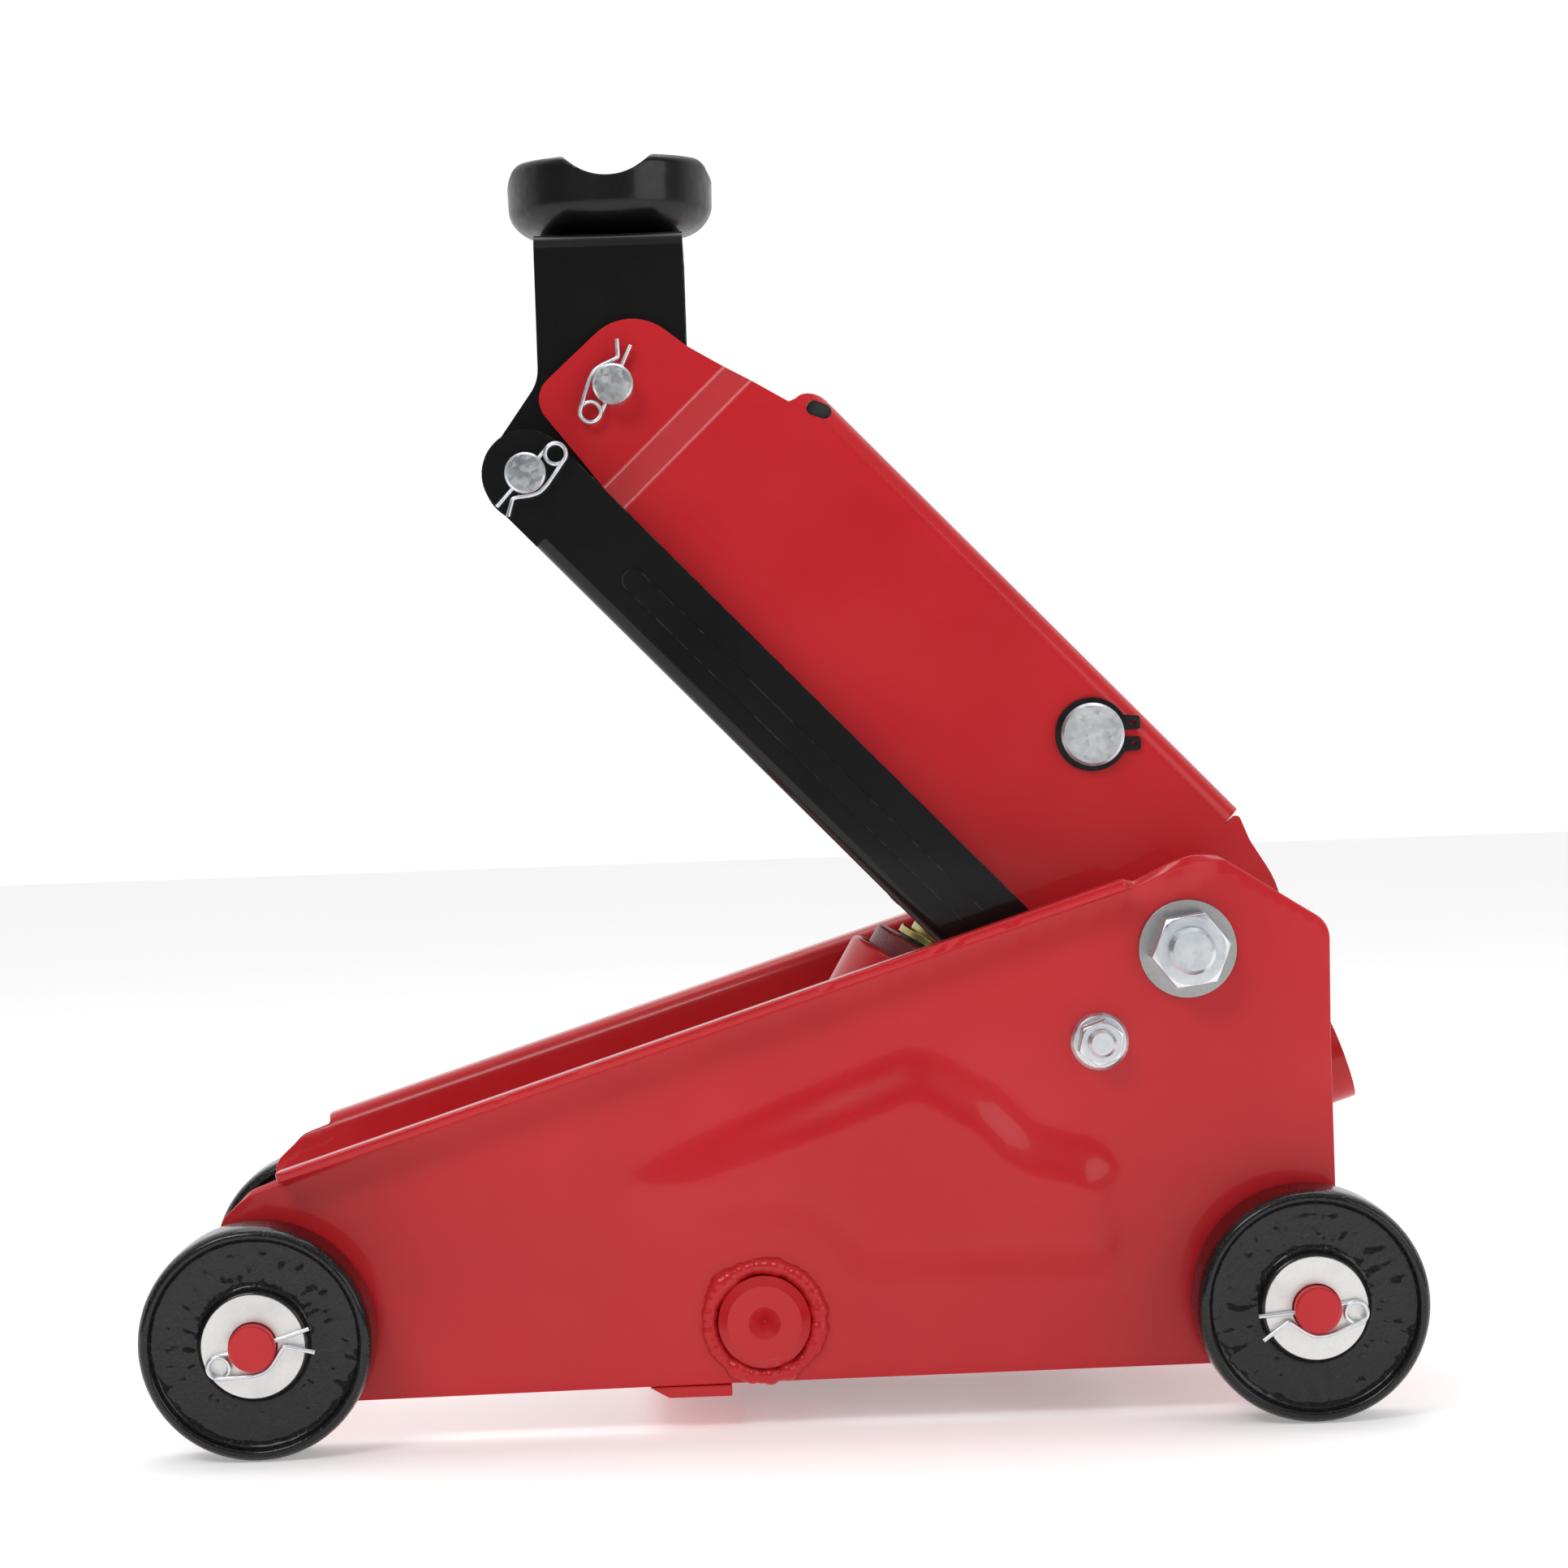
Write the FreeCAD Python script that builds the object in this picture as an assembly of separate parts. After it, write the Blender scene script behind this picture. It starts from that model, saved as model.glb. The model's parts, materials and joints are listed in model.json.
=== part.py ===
import FreeCAD, Part
import math
import os
from FreeCAD import Vector, Placement, Rotation

# Hydraulic trolley jack, drawn with its saddle raised. Millimetres, +Z up, +X towards the handle end,
# origin on the floor midway between the axles. Side views are given as (x, z) points.
os.makedirs("parts", exist_ok=True)

RUN = 0.05                       # radial running clearance
wheel_radius = 50.0
wheel_base = 451.0
wheel_inner_y = 124.0
wheel_outer_y = 160.0
axle_radius = 10.0
overall_half_width = 170.0
plate_outer_y = 120.0            # outer face of each side plate
plate_thick = 4.5
plate_inner_y = plate_outer_y - plate_thick
flange_reach = 16.0              # turned-out top flange
bend_radius = 8.0

arm_pivot = (180.0, 202.0)
saddle_pivot = (-61.3, 457.7)
link_offset = (-39.3, -39.0)     # from each arm pivot to the link rod's pivot beside it
push_pivot = (146.0, 295.5)
trunnion = (-8.7, 46.7)
ram_elevation = 59.1
socket_pivot = (185.4, 118.8)
socket_elevation = 18.0

arm_outer_y = 70.0
arm_sheet = 5.0
arm_top_n = -62.0                # arm's top web, measured square to the arm's centre line
head_outer_y = 62.0
bracket_outer_y = 56.0
rod_outer_y = 84.0
shaft_radius = 12.5
pin_radius = 9.0
push_pin_radius = 14.0
trunnion_radius = 20.0
lever_drop = 22.0
stud_radius = 10.0               # M20 ends of the pivot shaft
stud_end_y = 144.0
link_thread_radius = 6.0         # M12 bolts for the link rods
link_shoulder_radius = 8.0
axle_washer_radius = 22.0
axle_clip_y = 165.5              # spring clips, measured from the jack's mid-plane
upper_clip_y = 66.5
lower_clip_y = 88.5
socket_pin_radius = 7.0
roller_pin_radius = 4.0
roller_radius = 9.0
saddle_bolt_radius = 8.0
valve_height = 72.0              # release valve's centre line
pump_start = 88.0                # inner end of the pump barrel

link_pivot = (arm_pivot[0] + link_offset[0], arm_pivot[1] + link_offset[1])
lower_pivot = (saddle_pivot[0] + link_offset[0], saddle_pivot[1] + link_offset[1])
front_axle_at = (-wheel_base / 2, wheel_radius)
rear_axle_at = (wheel_base / 2, wheel_radius)


# ---------- helpers ----------

def save(name, shape):
    shape.exportStep("parts/" + name + ".step")


def side_view(a, b):
    return Vector(a, 0, b)


def outline(corners, place=side_view):
    # Closed wire through (a, b) or (a, b, radius) corners; place turns a corner into a point.
    edges = []
    starts = []
    count = len(corners)
    for i in range(count):
        here = place(*corners[i][:2])
        before = place(*corners[i - 1][:2])
        after = place(*corners[(i + 1) % count][:2])
        radius = corners[i][2] if len(corners[i]) > 2 else 0.0
        if radius == 0.0:
            starts.append((here, here))
            continue
        back = (before - here).normalize()
        ahead = (after - here).normalize()
        half = back.getAngle(ahead) / 2
        reach = radius / math.tan(half)
        middle_line = (back + ahead).normalize()
        centre = here + middle_line * (radius / math.sin(half))
        first = here + back * reach
        last = here + ahead * reach
        edges.append(Part.Arc(first, centre - middle_line * radius, last).toShape())
        starts.append((first, last))
    for i in range(count):
        leave = starts[i][1]
        arrive = starts[(i + 1) % count][0]
        if leave.distanceToPoint(arrive) > 1e-6:
            edges.append(Part.LineSegment(leave, arrive).toShape())
    return Part.Wire(Part.__sortEdges__(edges))


def prism(corners, y_from, y_to, place=side_view):
    face = Part.Face(outline(corners, place))
    face.translate(Vector(0, y_from, 0))
    return face.extrude(Vector(0, y_to - y_from, 0))


def swept(profile, start, end):
    # A (y, height) profile run from start to end, which are (x, z) points; height is square to that line.
    run = Vector(end[0] - start[0], 0, end[1] - start[1])
    up = Vector(-run.z, 0, run.x).normalize()
    if up.z < 0:
        up = up * -1
    origin = Vector(start[0], 0, start[1])
    return Part.Face(outline(profile, lambda y, n: origin + up * n + Vector(0, y, 0))).extrude(run)


def cross_rod(at, radius, y_from, y_to):
    return Part.makeCylinder(radius, y_to - y_from, Vector(at[0], y_from, at[1]), Vector(0, 1, 0))


def cross_ring(at, outer, inner, y_from, y_to):
    return cross_rod(at, outer, y_from, y_to).cut(cross_rod(at, inner, y_from - 1, y_to + 1))


def chamfered_rod(at, radius, y_from, y_to, bevel):
    # A rod across the jack with both ends bevelled.
    body = cross_rod(at, radius, y_from + bevel, y_to - bevel)
    low = Part.makeCone(radius - bevel, radius, bevel, Vector(at[0], y_from, at[1]), Vector(0, 1, 0))
    high = Part.makeCone(radius, radius - bevel, bevel, Vector(at[0], y_to - bevel, at[1]), Vector(0, 1, 0))
    return body.fuse([low, high]).removeSplitter()


def mirrored(shape):
    return shape.mirror(Vector(0, 0, 0), Vector(0, 1, 0))


def pair(shape):
    return Part.makeCompound([shape, mirrored(shape)])


def hex_nut(at, flats, height, bore, y_from, flange=0.0, turn=0.0):
    # Hexagon nut facing -Y: y_from is its seat, and it rises away from the jack.
    corner = flats / math.sqrt(3)
    points = []
    for i in range(6):
        angle = math.radians(60 * i + turn)
        points.append((at[0] + corner * math.cos(angle), at[1] + corner * math.sin(angle)))
    body = prism(points, y_from - height, y_from)
    bevel = corner - flats / 2
    crown = Part.makeCone(flats / 2 - 0.4, corner + 6, bevel * 0.55 + 3.3,
                          Vector(at[0], y_from - height, at[1]), Vector(0, 1, 0))
    crown = crown.fuse(cross_rod(at, corner + 6, y_from - height + bevel * 0.55 + 3.3, y_from))
    body = body.common(crown)
    if flange > 0.0:
        skirt = Part.makeCone(flange - 1.6, flange, 1.8, Vector(at[0], y_from - 2.6, at[1]), Vector(0, 1, 0))
        body = body.fuse([skirt, cross_rod(at, flange, y_from - 0.8, y_from)])
    return body.cut(cross_rod(at, bore, y_from - height - 1, y_from + 1)).removeSplitter()


# ---------- frame ----------

plate_corners = [
    (-243, 98, 12), (-229, 110.5, 14), (-217.2, 114.5, 3), (-216.9, 116), (154.3, 230.6), (154.3, 234.0),
    (157, 231.5), (180, 242.5, 16), (196, 241, 14), (229, 219.5, 10), (242.3, 211, 12), (241.3, 160),
    (241.3, 22, 22), (180, 21), (-23, 20), (-246, 17.6, 28),
]
panel_corners = [
    (-90, 108, 10), (62, 163, 26), (96, 143, 18), (112, 126, 20), (147, 117, 22), (155, 58, 18),
    (32, 60, 22), (6, 86, 26), (-34, 82, 26),
]
panel_depth = 6.0
panel_slope = 12.0


def inset(corners, distance):
    # The same clockwise outline moved inwards; rounded corners keep a matching radius.
    moved = []
    count = len(corners)
    for i in range(count):
        (px, pz), (hx, hz), (nx, nz) = (corners[i - 1][:2], corners[i][:2], corners[(i + 1) % count][:2])
        a = Vector(hx - px, 0, hz - pz).normalize()
        b = Vector(nx - hx, 0, nz - hz).normalize()
        inward = Vector(a.z, 0, -a.x) + Vector(b.z, 0, -b.x)
        cross = a.x * b.z - a.z * b.x
        step = inward * (distance / (1 + a.dot(b)))
        radius = corners[i][2] + (distance if cross > 0 else -distance)
        moved.append((hx + step.x, hz + step.z, max(radius, 1.0)))
    return moved


def panel_block(shrink, y_low, y_high):
    # The pressed panel's bulge: wide at y_low, narrower at y_high.
    wide = outline(inset(panel_corners, shrink))
    narrow = outline(inset(panel_corners, shrink + panel_slope))
    wide.translate(Vector(0, y_low, 0))
    narrow.translate(Vector(0, y_high, 0))
    return Part.makeLoft([wide, narrow], True, True)


def side_plate():
    plate = prism(plate_corners, -plate_outer_y, -plate_inner_y)
    reach = -plate_outer_y - flange_reach
    fold = swept([
        (-plate_inner_y, -bend_radius - 6), (-plate_inner_y, 0, bend_radius), (reach, 0, 1.2),
        (reach, -plate_thick, 1.2), (-plate_outer_y, -plate_thick, 3.0), (-plate_outer_y, -bend_radius - 6),
    ], (-216.9, 119.6), (153.0, 233.8))
    bulge = panel_block(0.0, -plate_outer_y + 0.5, -plate_outer_y - panel_depth)
    dish = panel_block(plate_thick, -plate_inner_y, -plate_inner_y - panel_depth)
    plate = plate.fuse([fold, bulge]).cut(dish)
    plate = plate.cut(cross_rod(arm_pivot, stud_radius + RUN, -140, -100))
    plate = plate.cut(cross_rod(link_pivot, link_thread_radius + RUN, -140, -100))
    plate = plate.cut(cross_rod(trunnion, trunnion_radius + RUN, -140, -100))
    for at in (front_axle_at, rear_axle_at):
        plate = plate.cut(cross_rod(at, axle_radius + RUN, -140, -100))
    return plate.removeSplitter()


def weld_bead():
    # Fillet weld round the trunnion shaft's end, with a heavier overlap at its start.
    at = Vector(trunnion[0], -plate_outer_y, trunnion[1])
    ring = Part.makeTorus(trunnion_radius + 4.6, 4.2, at, Vector(0, 1, 0))
    lump = Part.makeSphere(6.0, at + Vector(-17.5, 0.4, 17.5))
    outside = Part.makeBox(80, 20, 80, at + Vector(-40, -20, -40))
    bead = ring.fuse(lump).common(outside)
    return bead.cut(cross_rod(trunnion, trunnion_radius, -140, -100))


def trunnion_shaft():
    end = plate_outer_y + 8
    shaft = chamfered_rod(trunnion, trunnion_radius, -end, end, 4.0)
    for y, direction in ((-end, 1), (end, -1)):
        drill = Part.makeCone(7.0, 0.5, 6.0, Vector(trunnion[0], y, trunnion[1]), Vector(0, direction, 0))
        shaft = shaft.cut(drill)
    return shaft


def bottom_tie_plate():
    corners = [(-59.5, 19.3), (-51, 14.4, 2), (-23.6, 14.4), (-23.6, 19.4)]
    return prism(corners, -plate_outer_y + 0.5, plate_outer_y - 0.5)


def rear_tie_plate():
    return prism([(148, 24), (153, 24), (153, 62), (148, 62)], -plate_inner_y, plate_inner_y)


clip_leg_lift = 0.7             # the clip's two legs lie this far either side of its coil


def clip_hole(at, y, lean):
    # Cross hole for a spring clip's straight leg.
    run = Vector(math.cos(math.radians(lean)), 0, math.sin(math.radians(lean)))
    return Part.makeCylinder(1.4, 40, Vector(at[0], y, at[1]) - run * 20, run)


def drilled_pin(at, radius, half_length, hole_y, lean, bevel=1.0):
    # Pin across the jack with a clip hole near each end.
    bar = chamfered_rod(at, radius, -half_length, half_length, bevel)
    leg_y = hole_y - clip_leg_lift
    return bar.cut([clip_hole(at, -leg_y, lean), clip_hole(at, leg_y, lean)])


def washer_stack(at):
    outer = cross_ring(at, axle_washer_radius, axle_radius + 0.3, -wheel_outer_y - 3.3, -wheel_outer_y - 0.3)
    inner = cross_ring(at, axle_washer_radius - 4, axle_radius + 0.3, -wheel_inner_y + 0.3, -plate_outer_y)
    return [outer, inner]


def spring_clip(at, y, radius, lean, side, reach):
    # R-clip: a straight leg through the pin, a coil, and a waisted leg round the pin.
    wire = 1.0
    coil = 4.6
    near = radius + wire + 0.4
    straight = [(-radius - 6, 0), (radius, 0), (reach, -(reach - radius - 10) * 0.3)]
    waisted = [(-radius - 6, 2 * coil), (-0.5 * radius, near), (0.45 * radius, near),
               (radius + 3.2, 2.6), (reach, 3.2 + (reach - radius - 4) * 0.5)]
    clip = Part.makeTorus(coil, wire, Vector(-radius - 6, 0, side * coil), Vector(0, 1, 0))
    for leg, lift in ((straight, clip_leg_lift), (waisted, -clip_leg_lift)):
        points = [Vector(p[0], lift, side * p[1]) for p in leg]
        for a, b in zip(points, points[1:]):
            clip = clip.fuse(Part.makeCylinder(wire, (b - a).Length, a, b - a))
        for point in points[1:]:
            clip = clip.fuse(Part.makeSphere(wire, point))
    clip.rotate(Vector(0, 0, 0), Vector(0, 1, 0), -lean)
    clip.translate(Vector(at[0], y, at[1]))
    return clip


def pivot_shaft():
    shaft = cross_rod(arm_pivot, shaft_radius, -plate_inner_y, plate_inner_y)
    studs = chamfered_rod(arm_pivot, stud_radius, -stud_end_y, stud_end_y, 1.5)
    return shaft.fuse(studs).removeSplitter()


def link_bolt():
    shoulder = cross_rod(link_pivot, link_shoulder_radius, -plate_inner_y, -79.0)
    thread = chamfered_rod(link_pivot, link_thread_radius, -136, -80, 1.2)
    head = cross_rod(link_pivot, 12.0, -79.2, -74.2)
    return shoulder.fuse([thread, head]).removeSplitter()


# ---------- wheels ----------

def wheel(at):
    # Cast wheel: crowned tread, a raised rim and hub, and a dished web on both faces.
    middle = (wheel_inner_y + wheel_outer_y) / 2
    half = (wheel_outer_y - wheel_inner_y) / 2
    dish = 4.0
    section = [
        (axle_radius + RUN, -half), (23, -half, 1.2), (25, -half + dish, 2), (41.5, -half + dish, 2),
        (43, -half, 1.0), (48.0, -half, 4.0), (wheel_radius, -half + 7, 22), (wheel_radius, half - 7, 22),
        (48.0, half, 4.0), (43, half, 1.0), (41.5, half - dish, 2), (25, half - dish, 2), (23, half, 1.2),
        (axle_radius + RUN, half),
    ]
    place = lambda r, y: Vector(at[0] + r, -middle + y, at[1])
    face = Part.Face(outline(section, place))
    return face.revolve(Vector(at[0], 0, at[1]), Vector(0, 1, 0), 360)


# ---------- lift arm ----------

arm_run = Vector(saddle_pivot[0] - arm_pivot[0], 0, saddle_pivot[1] - arm_pivot[1])
arm_length = arm_run.Length
arm_u = Vector(arm_run).normalize()
arm_n = Vector(-arm_u.z, 0, arm_u.x)      # points down, to the link rods' side


def on_arm(u, n):
    return Vector(arm_pivot[0], 0, arm_pivot[1]) + arm_u * u + arm_n * n


arm_side_corners = [
    (374.6, 30, 12), (373, -31, 24), (341, -35.5, 20), (291, -49.5), (289.7, -53), (20.8, -53),
    (20.5, -60.5, 2), (8, -55.5, 20), (-38, -46, 44), (-44, 44, 40), (60, 62, 30), (100, 76, 24),
    (150, 67, 60), (320, 35.5, 20),
]
web_from = 21.3
web_to = 291.0
web_fold = 9.0                   # outer radius of the web's folds
web_cut_at = 338.0
web_cut_radius = 85.0
joggle_from = 309.0
joggle_to = 323.0


def arm_side():
    blank = prism(arm_side_corners, -arm_outer_y - 1, -head_outer_y + arm_sheet + 1, on_arm)
    path = [
        (-60, -arm_outer_y), (joggle_from, -arm_outer_y, 6), (joggle_to, -head_outer_y, 6),
        (400, -head_outer_y), (400, -head_outer_y + arm_sheet), (joggle_to, -head_outer_y + arm_sheet, 4),
        (joggle_from, -arm_outer_y + arm_sheet, 4), (-60, -arm_outer_y + arm_sheet),
    ]
    origin = on_arm(0, -90)
    face = Part.Face(outline(path, lambda u, y: origin + arm_u * u + Vector(0, y, 0)))
    return blank.common(face.extrude(arm_n * 190))


def arm_web():
    # Top web with its two folds down to the sides; its front edge is cut back round the saddle.
    low = arm_top_n + web_fold + 2
    outer = arm_outer_y
    inner = arm_outer_y - arm_sheet
    inner_fold = web_fold - arm_sheet
    under = arm_top_n + arm_sheet
    profile = [
        (-outer, low), (-outer, arm_top_n, web_fold), (outer, arm_top_n, web_fold), (outer, low),
        (inner, low), (inner, under, inner_fold), (-inner, under, inner_fold), (-inner, low),
    ]
    origin = on_arm(web_from, 0)
    face = Part.Face(outline(profile, lambda y, n: origin + arm_n * n + Vector(0, y, 0)))
    web = face.extrude(arm_u * (web_to - web_from))
    cutter = Part.makeCylinder(web_cut_radius, 60, on_arm(web_cut_at, -100), arm_n)
    return web.cut(cutter)


def relief_slot(y_from, y_to, shrink):
    # Rounded slot through the fold beside the front cut-out.
    radius = 3.4 - shrink
    middle = on_arm(279, -56.4)
    ends = [middle + Vector(reach * 0.94, 0, -reach * 0.34) for reach in (-2.4, 2.4)]
    lobes = [cross_rod((end.x, end.z), radius, y_from, y_to) for end in ends]
    side = Vector(0.34, 0, 0.94) * radius
    corners = [ends[0] + side, ends[1] + side, ends[1] - side, ends[0] - side]
    slot = lobes[0].fuse([lobes[1], prism([(c.x, c.z) for c in corners], y_from, y_to)])
    return slot.removeSplitter()


def fold_plug():
    # Rubber plug that closes a relief slot.
    return relief_slot(-66.4, -60.5, RUN)


def lift_arm():
    side = arm_side()
    arm = side.fuse([mirrored(side), arm_web()])
    bores = [
        cross_rod(arm_pivot, shaft_radius + RUN, -80, 80),
        cross_rod(saddle_pivot, pin_radius + RUN, -80, 80),
        cross_rod(push_pivot, push_pin_radius + RUN, -80, 80),
        relief_slot(-80, -56, 0.0),
        relief_slot(56, 80, 0.0),
    ]
    return arm.cut(bores).removeSplitter()


def arm_pivot_tube():
    return cross_ring(arm_pivot, 18.0, shaft_radius + RUN, -arm_outer_y + arm_sheet, arm_outer_y - arm_sheet)


def pivot_spacer():
    return cross_ring(arm_pivot, 18.0, shaft_radius + RUN, -plate_inner_y, -arm_outer_y - 0.3)


def push_circlip():
    # External circlip with two drilled lugs, seated in a groove of the push pin.
    y_out = -arm_outer_y - 2.0
    y_in = -arm_outer_y - 0.2
    px, pz = push_pivot
    ring = cross_ring(push_pivot, 16.4, push_pin_radius - 1.0, y_out, y_in)
    for side in (1, -1):
        lug = prism([
            (px + 12, pz + side * 1.6), (px + 12, pz + side * 8.5), (px + 21.5, pz + side * 7.6, 1.5),
            (px + 21.5, pz + side * 1.6, 1.2)], y_out, y_in)
        eye = (px + 18.4, pz + side * 4.6)
        lug = lug.cut(cross_rod(push_pivot, push_pin_radius - 1.0, -80, -60))
        ring = ring.fuse(lug).cut(cross_rod(eye, 1.1, y_out - 1, y_in + 1))
    mouth = Part.makeBox(12, 6, 3.2, Vector(px + 10, y_out - 2, pz - 1.6))
    return ring.cut(mouth)


def push_pin():
    pin = chamfered_rod(push_pivot, push_pin_radius, -77.5, 77.5, 1.2)
    for low, high in ((-arm_outer_y - 2.2, -arm_outer_y - 0.15), (arm_outer_y + 0.15, arm_outer_y + 2.2)):
        pin = pin.cut(cross_ring(push_pivot, 20, push_pin_radius - 1.2, low, high))
    return pin


# ---------- link rods and saddle ----------

def on_rod(u, n):
    return Vector(link_pivot[0], 0, link_pivot[1]) + arm_u * u + arm_n * n


rod_half_width = 19.5
rod_sheet = 4.5


def link_rod():
    # Flat pressed rod with a folded lower edge and a shallow stiffening rib.
    end = rod_half_width
    corners = [
        (-end, -end, end - 0.1), (-end, end, end - 0.1),
        (arm_length + end, end, end - 0.1), (arm_length + end, -end, end - 0.1),
    ]
    inner = -rod_outer_y + rod_sheet
    rod = prism(corners, -rod_outer_y, inner, on_rod)
    fold_profile = [(-rod_outer_y, end - 10), (-rod_outer_y, end, 6), (-73, end), (-73, end - 4),
                    (inner, end - 4, 1.5), (inner, end - 10)]
    origin = on_rod(26, 0)
    fold = Part.Face(outline(fold_profile, lambda y, n: origin + arm_n * n + Vector(0, y, 0)))
    fold = fold.extrude(arm_u * (arm_length - 52))
    far = arm_length - 26
    corner_strip = prism([(26, end - 7), (far, end - 7), (far, end + 2), (26, end + 2)],
                         -rod_outer_y - 1, inner + 0.5, on_rod)
    rod = rod.cut(corner_strip).fuse(fold)
    rib = prism([(62, -5, 4.9), (62, 5, 4.9), (290, 5, 4.9), (290, -5, 4.9)],
                -rod_outer_y - 1.2, -rod_outer_y + 1, on_rod)
    rod = rod.fuse(rib)
    rod = rod.cut([
        cross_rod(link_pivot, link_shoulder_radius + RUN, -90, -70),
        cross_rod(lower_pivot, pin_radius + 0.3, -90, -70),
    ])
    return rod.removeSplitter()


saddle_x = saddle_pivot[0]
bracket_top = 526.5
bracket_sheet = 5.0


def saddle_bracket():
    # Strap bent over the top, with two plates that carry both pins.
    corners = [
        (-95, bracket_top - 6), (-95, 461, 18), (-113, 436), (-88, 402.5), (-62, 427, 16), (-28.5, 441, 14),
        (-28.5, bracket_top - 6),
    ]
    inner = bracket_outer_y - bracket_sheet
    plate = prism(corners, -bracket_outer_y, -inner)
    plate = plate.fuse(cross_rod(lower_pivot, 20.3, -bracket_outer_y, -inner))
    top = bracket_top
    profile = [
        (-bracket_outer_y, top - 8), (-bracket_outer_y, top, 7), (bracket_outer_y, top, 7),
        (bracket_outer_y, top - 8), (inner, top - 8), (inner, top - bracket_sheet, 3),
        (-inner, top - bracket_sheet, 3), (-inner, top - 8),
    ]
    strap = swept(profile, (-95, 0), (-28.5, 0))
    bracket = plate.fuse([mirrored(plate), strap])
    bracket = bracket.cut([
        cross_rod(saddle_pivot, pin_radius + RUN, -60, 60),
        cross_rod(lower_pivot, pin_radius + RUN, -60, 60),
        Part.makeCylinder(saddle_bolt_radius + RUN, 30, Vector(saddle_x, 0, top - 15)),
    ])
    return bracket.removeSplitter()


def lower_spacer():
    return cross_ring(lower_pivot, 13.0, pin_radius + RUN, -rod_outer_y + rod_sheet + 0.4, -bracket_outer_y)


cup_bottom = 526.8
cup_top = 563.0
cup_radius = 47.2


def saddle_cup():
    # Cast cup: rounded flanks, a shallow bowl, a hub boss and four dips in its rim.
    section = [
        (saddle_bolt_radius + RUN, cup_bottom), (22, cup_bottom, 4), (42, cup_bottom + 5, 20),
        (cup_radius - 1, 541, 14),
        (cup_radius, cup_top, 4), (cup_radius - 11, cup_top, 4), (33, 541, 8), (16, 537, 4),
        (saddle_bolt_radius + RUN, 537),
    ]
    place = lambda r, z: Vector(saddle_x + r, 0, z)
    cup = Part.Face(outline(section, place)).revolve(Vector(saddle_x, 0, 0), Vector(0, 0, 1), 360)
    dip_radius = 25.0
    for axis in (Vector(0, 1, 0), Vector(1, 0, 0)):
        start = Vector(saddle_x, 0, cup_top - 10 + dip_radius) - axis * 70
        cup = cup.cut(Part.makeCylinder(dip_radius, 140, start, axis))
    return cup.removeSplitter()


def saddle_bolt():
    # Stem under the cup, held below the bracket's top by a retaining washer.
    axis = Vector(0, 0, 1)
    stem = Part.makeCylinder(saddle_bolt_radius, 26.7, Vector(saddle_x, 0, 514), axis)
    head = Part.makeCone(14, 12, 3.5, Vector(saddle_x, 0, 537.2), axis)
    keeper = Part.makeCylinder(13, 4.0, Vector(saddle_x, 0, bracket_top - bracket_sheet - 4.3), axis)
    return stem.fuse([head, keeper]).removeSplitter()


# ---------- power unit ----------

ram_tilt = 90.0 - ram_elevation
ram_place = Placement(Vector(trunnion[0], 0, trunnion[1]), Rotation(Vector(0, 1, 0), ram_tilt))
deck = 42.0                      # base casting's top face, along the ram's line
tank_top = 162.0
cap_top = 171.5
ram_radius = 19.0
ram_foot = 131.0
push_drop = 0.45                 # gap that the open push joint keeps at rest
spring_y = 50.0
spring_lug_along = 31.0


def on_ram_line(shape):
    shape.Placement = ram_place.multiply(shape.Placement)
    return shape


def ram_along(at):
    run = Vector(at[0] - trunnion[0], 0, at[1] - trunnion[1])
    line = Vector(math.sin(math.radians(ram_tilt)), 0, math.cos(math.radians(ram_tilt)))
    return run.dot(line)


pad_top = ram_along(push_pivot) - push_pin_radius - push_drop
pad_thick = 5.0
piston_height = 8.0
pump_z = socket_pivot[1] - lever_drop
barrel_end = 134.0


def stacked_ring(outer, inner, low, high, bevel=0.0):
    # Ring round the ram's line, with a rounded upper edge.
    corners = [(inner, low), (outer, low), (outer, high, bevel), (inner, high)]
    ring = Part.Face(outline(corners)).revolve(Vector(0, 0, 0), Vector(0, 0, 1), 360)
    return on_ram_line(ring)


def power_unit_base():
    # Casting: trunnion eye, cylinder deck, and a tail that carries the pump and the socket's ears.
    eye = cross_rod(trunnion, 27.0, -44, 44)
    neck = Part.makeBox(44, 80, 32, Vector(-22, -40, 0))
    plinth = Part.makeCylinder(45.0, deck - 20.0, Vector(0, 0, 20.0))
    base = eye.fuse([on_ram_line(neck), on_ram_line(plinth)])
    tail = prism([(14, 60, 8), (14, 116, 8), (118, 116, 6), (118, 60, 8)], -24, 24)
    ear_corners = [(40, 66), (40, 114, 4), (110, 117, 20), (176, 133, 12), (200, 133, 14), (200, 104.5, 14),
                   (150, 90, 30), (112, 62, 8)]
    ear = prism(ear_corners, -31, -23.9)
    base = base.fuse([tail, ear, mirrored(ear)])
    lug_at = ram_along_point(spring_lug_along)
    base = base.cut([
        cross_rod(trunnion, trunnion_radius + RUN, -60, 60),
        on_ram_line(Part.makeCylinder(21.0, 30, Vector(0, 0, 33.0))),
        on_ram_line(Part.makeCylinder(42.0, 150, Vector(0, 0, deck))),
        cross_rod(socket_pivot, socket_pin_radius, -40, 40),
        cross_rod(lug_at, 5.0, -60, 60).cut(cross_rod(lug_at, 6.0, -34, 34)),
        Part.makeCylinder(13.0, 40, Vector(pump_start, 0, pump_z), Vector(1, 0, 0)),
        Part.makeCylinder(6.0 + RUN, 30, Vector(92, 0, valve_height), Vector(1, 0, 0)),
    ])
    return base.removeSplitter()


def ram_along_point(distance):
    return (trunnion[0] + distance * math.sin(math.radians(ram_tilt)),
            trunnion[1] + distance * math.cos(math.radians(ram_tilt)))


def spring_lug():
    at = ram_along_point(spring_lug_along)
    return chamfered_rod(at, 5.0, -58, -34, 0.8)


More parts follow.
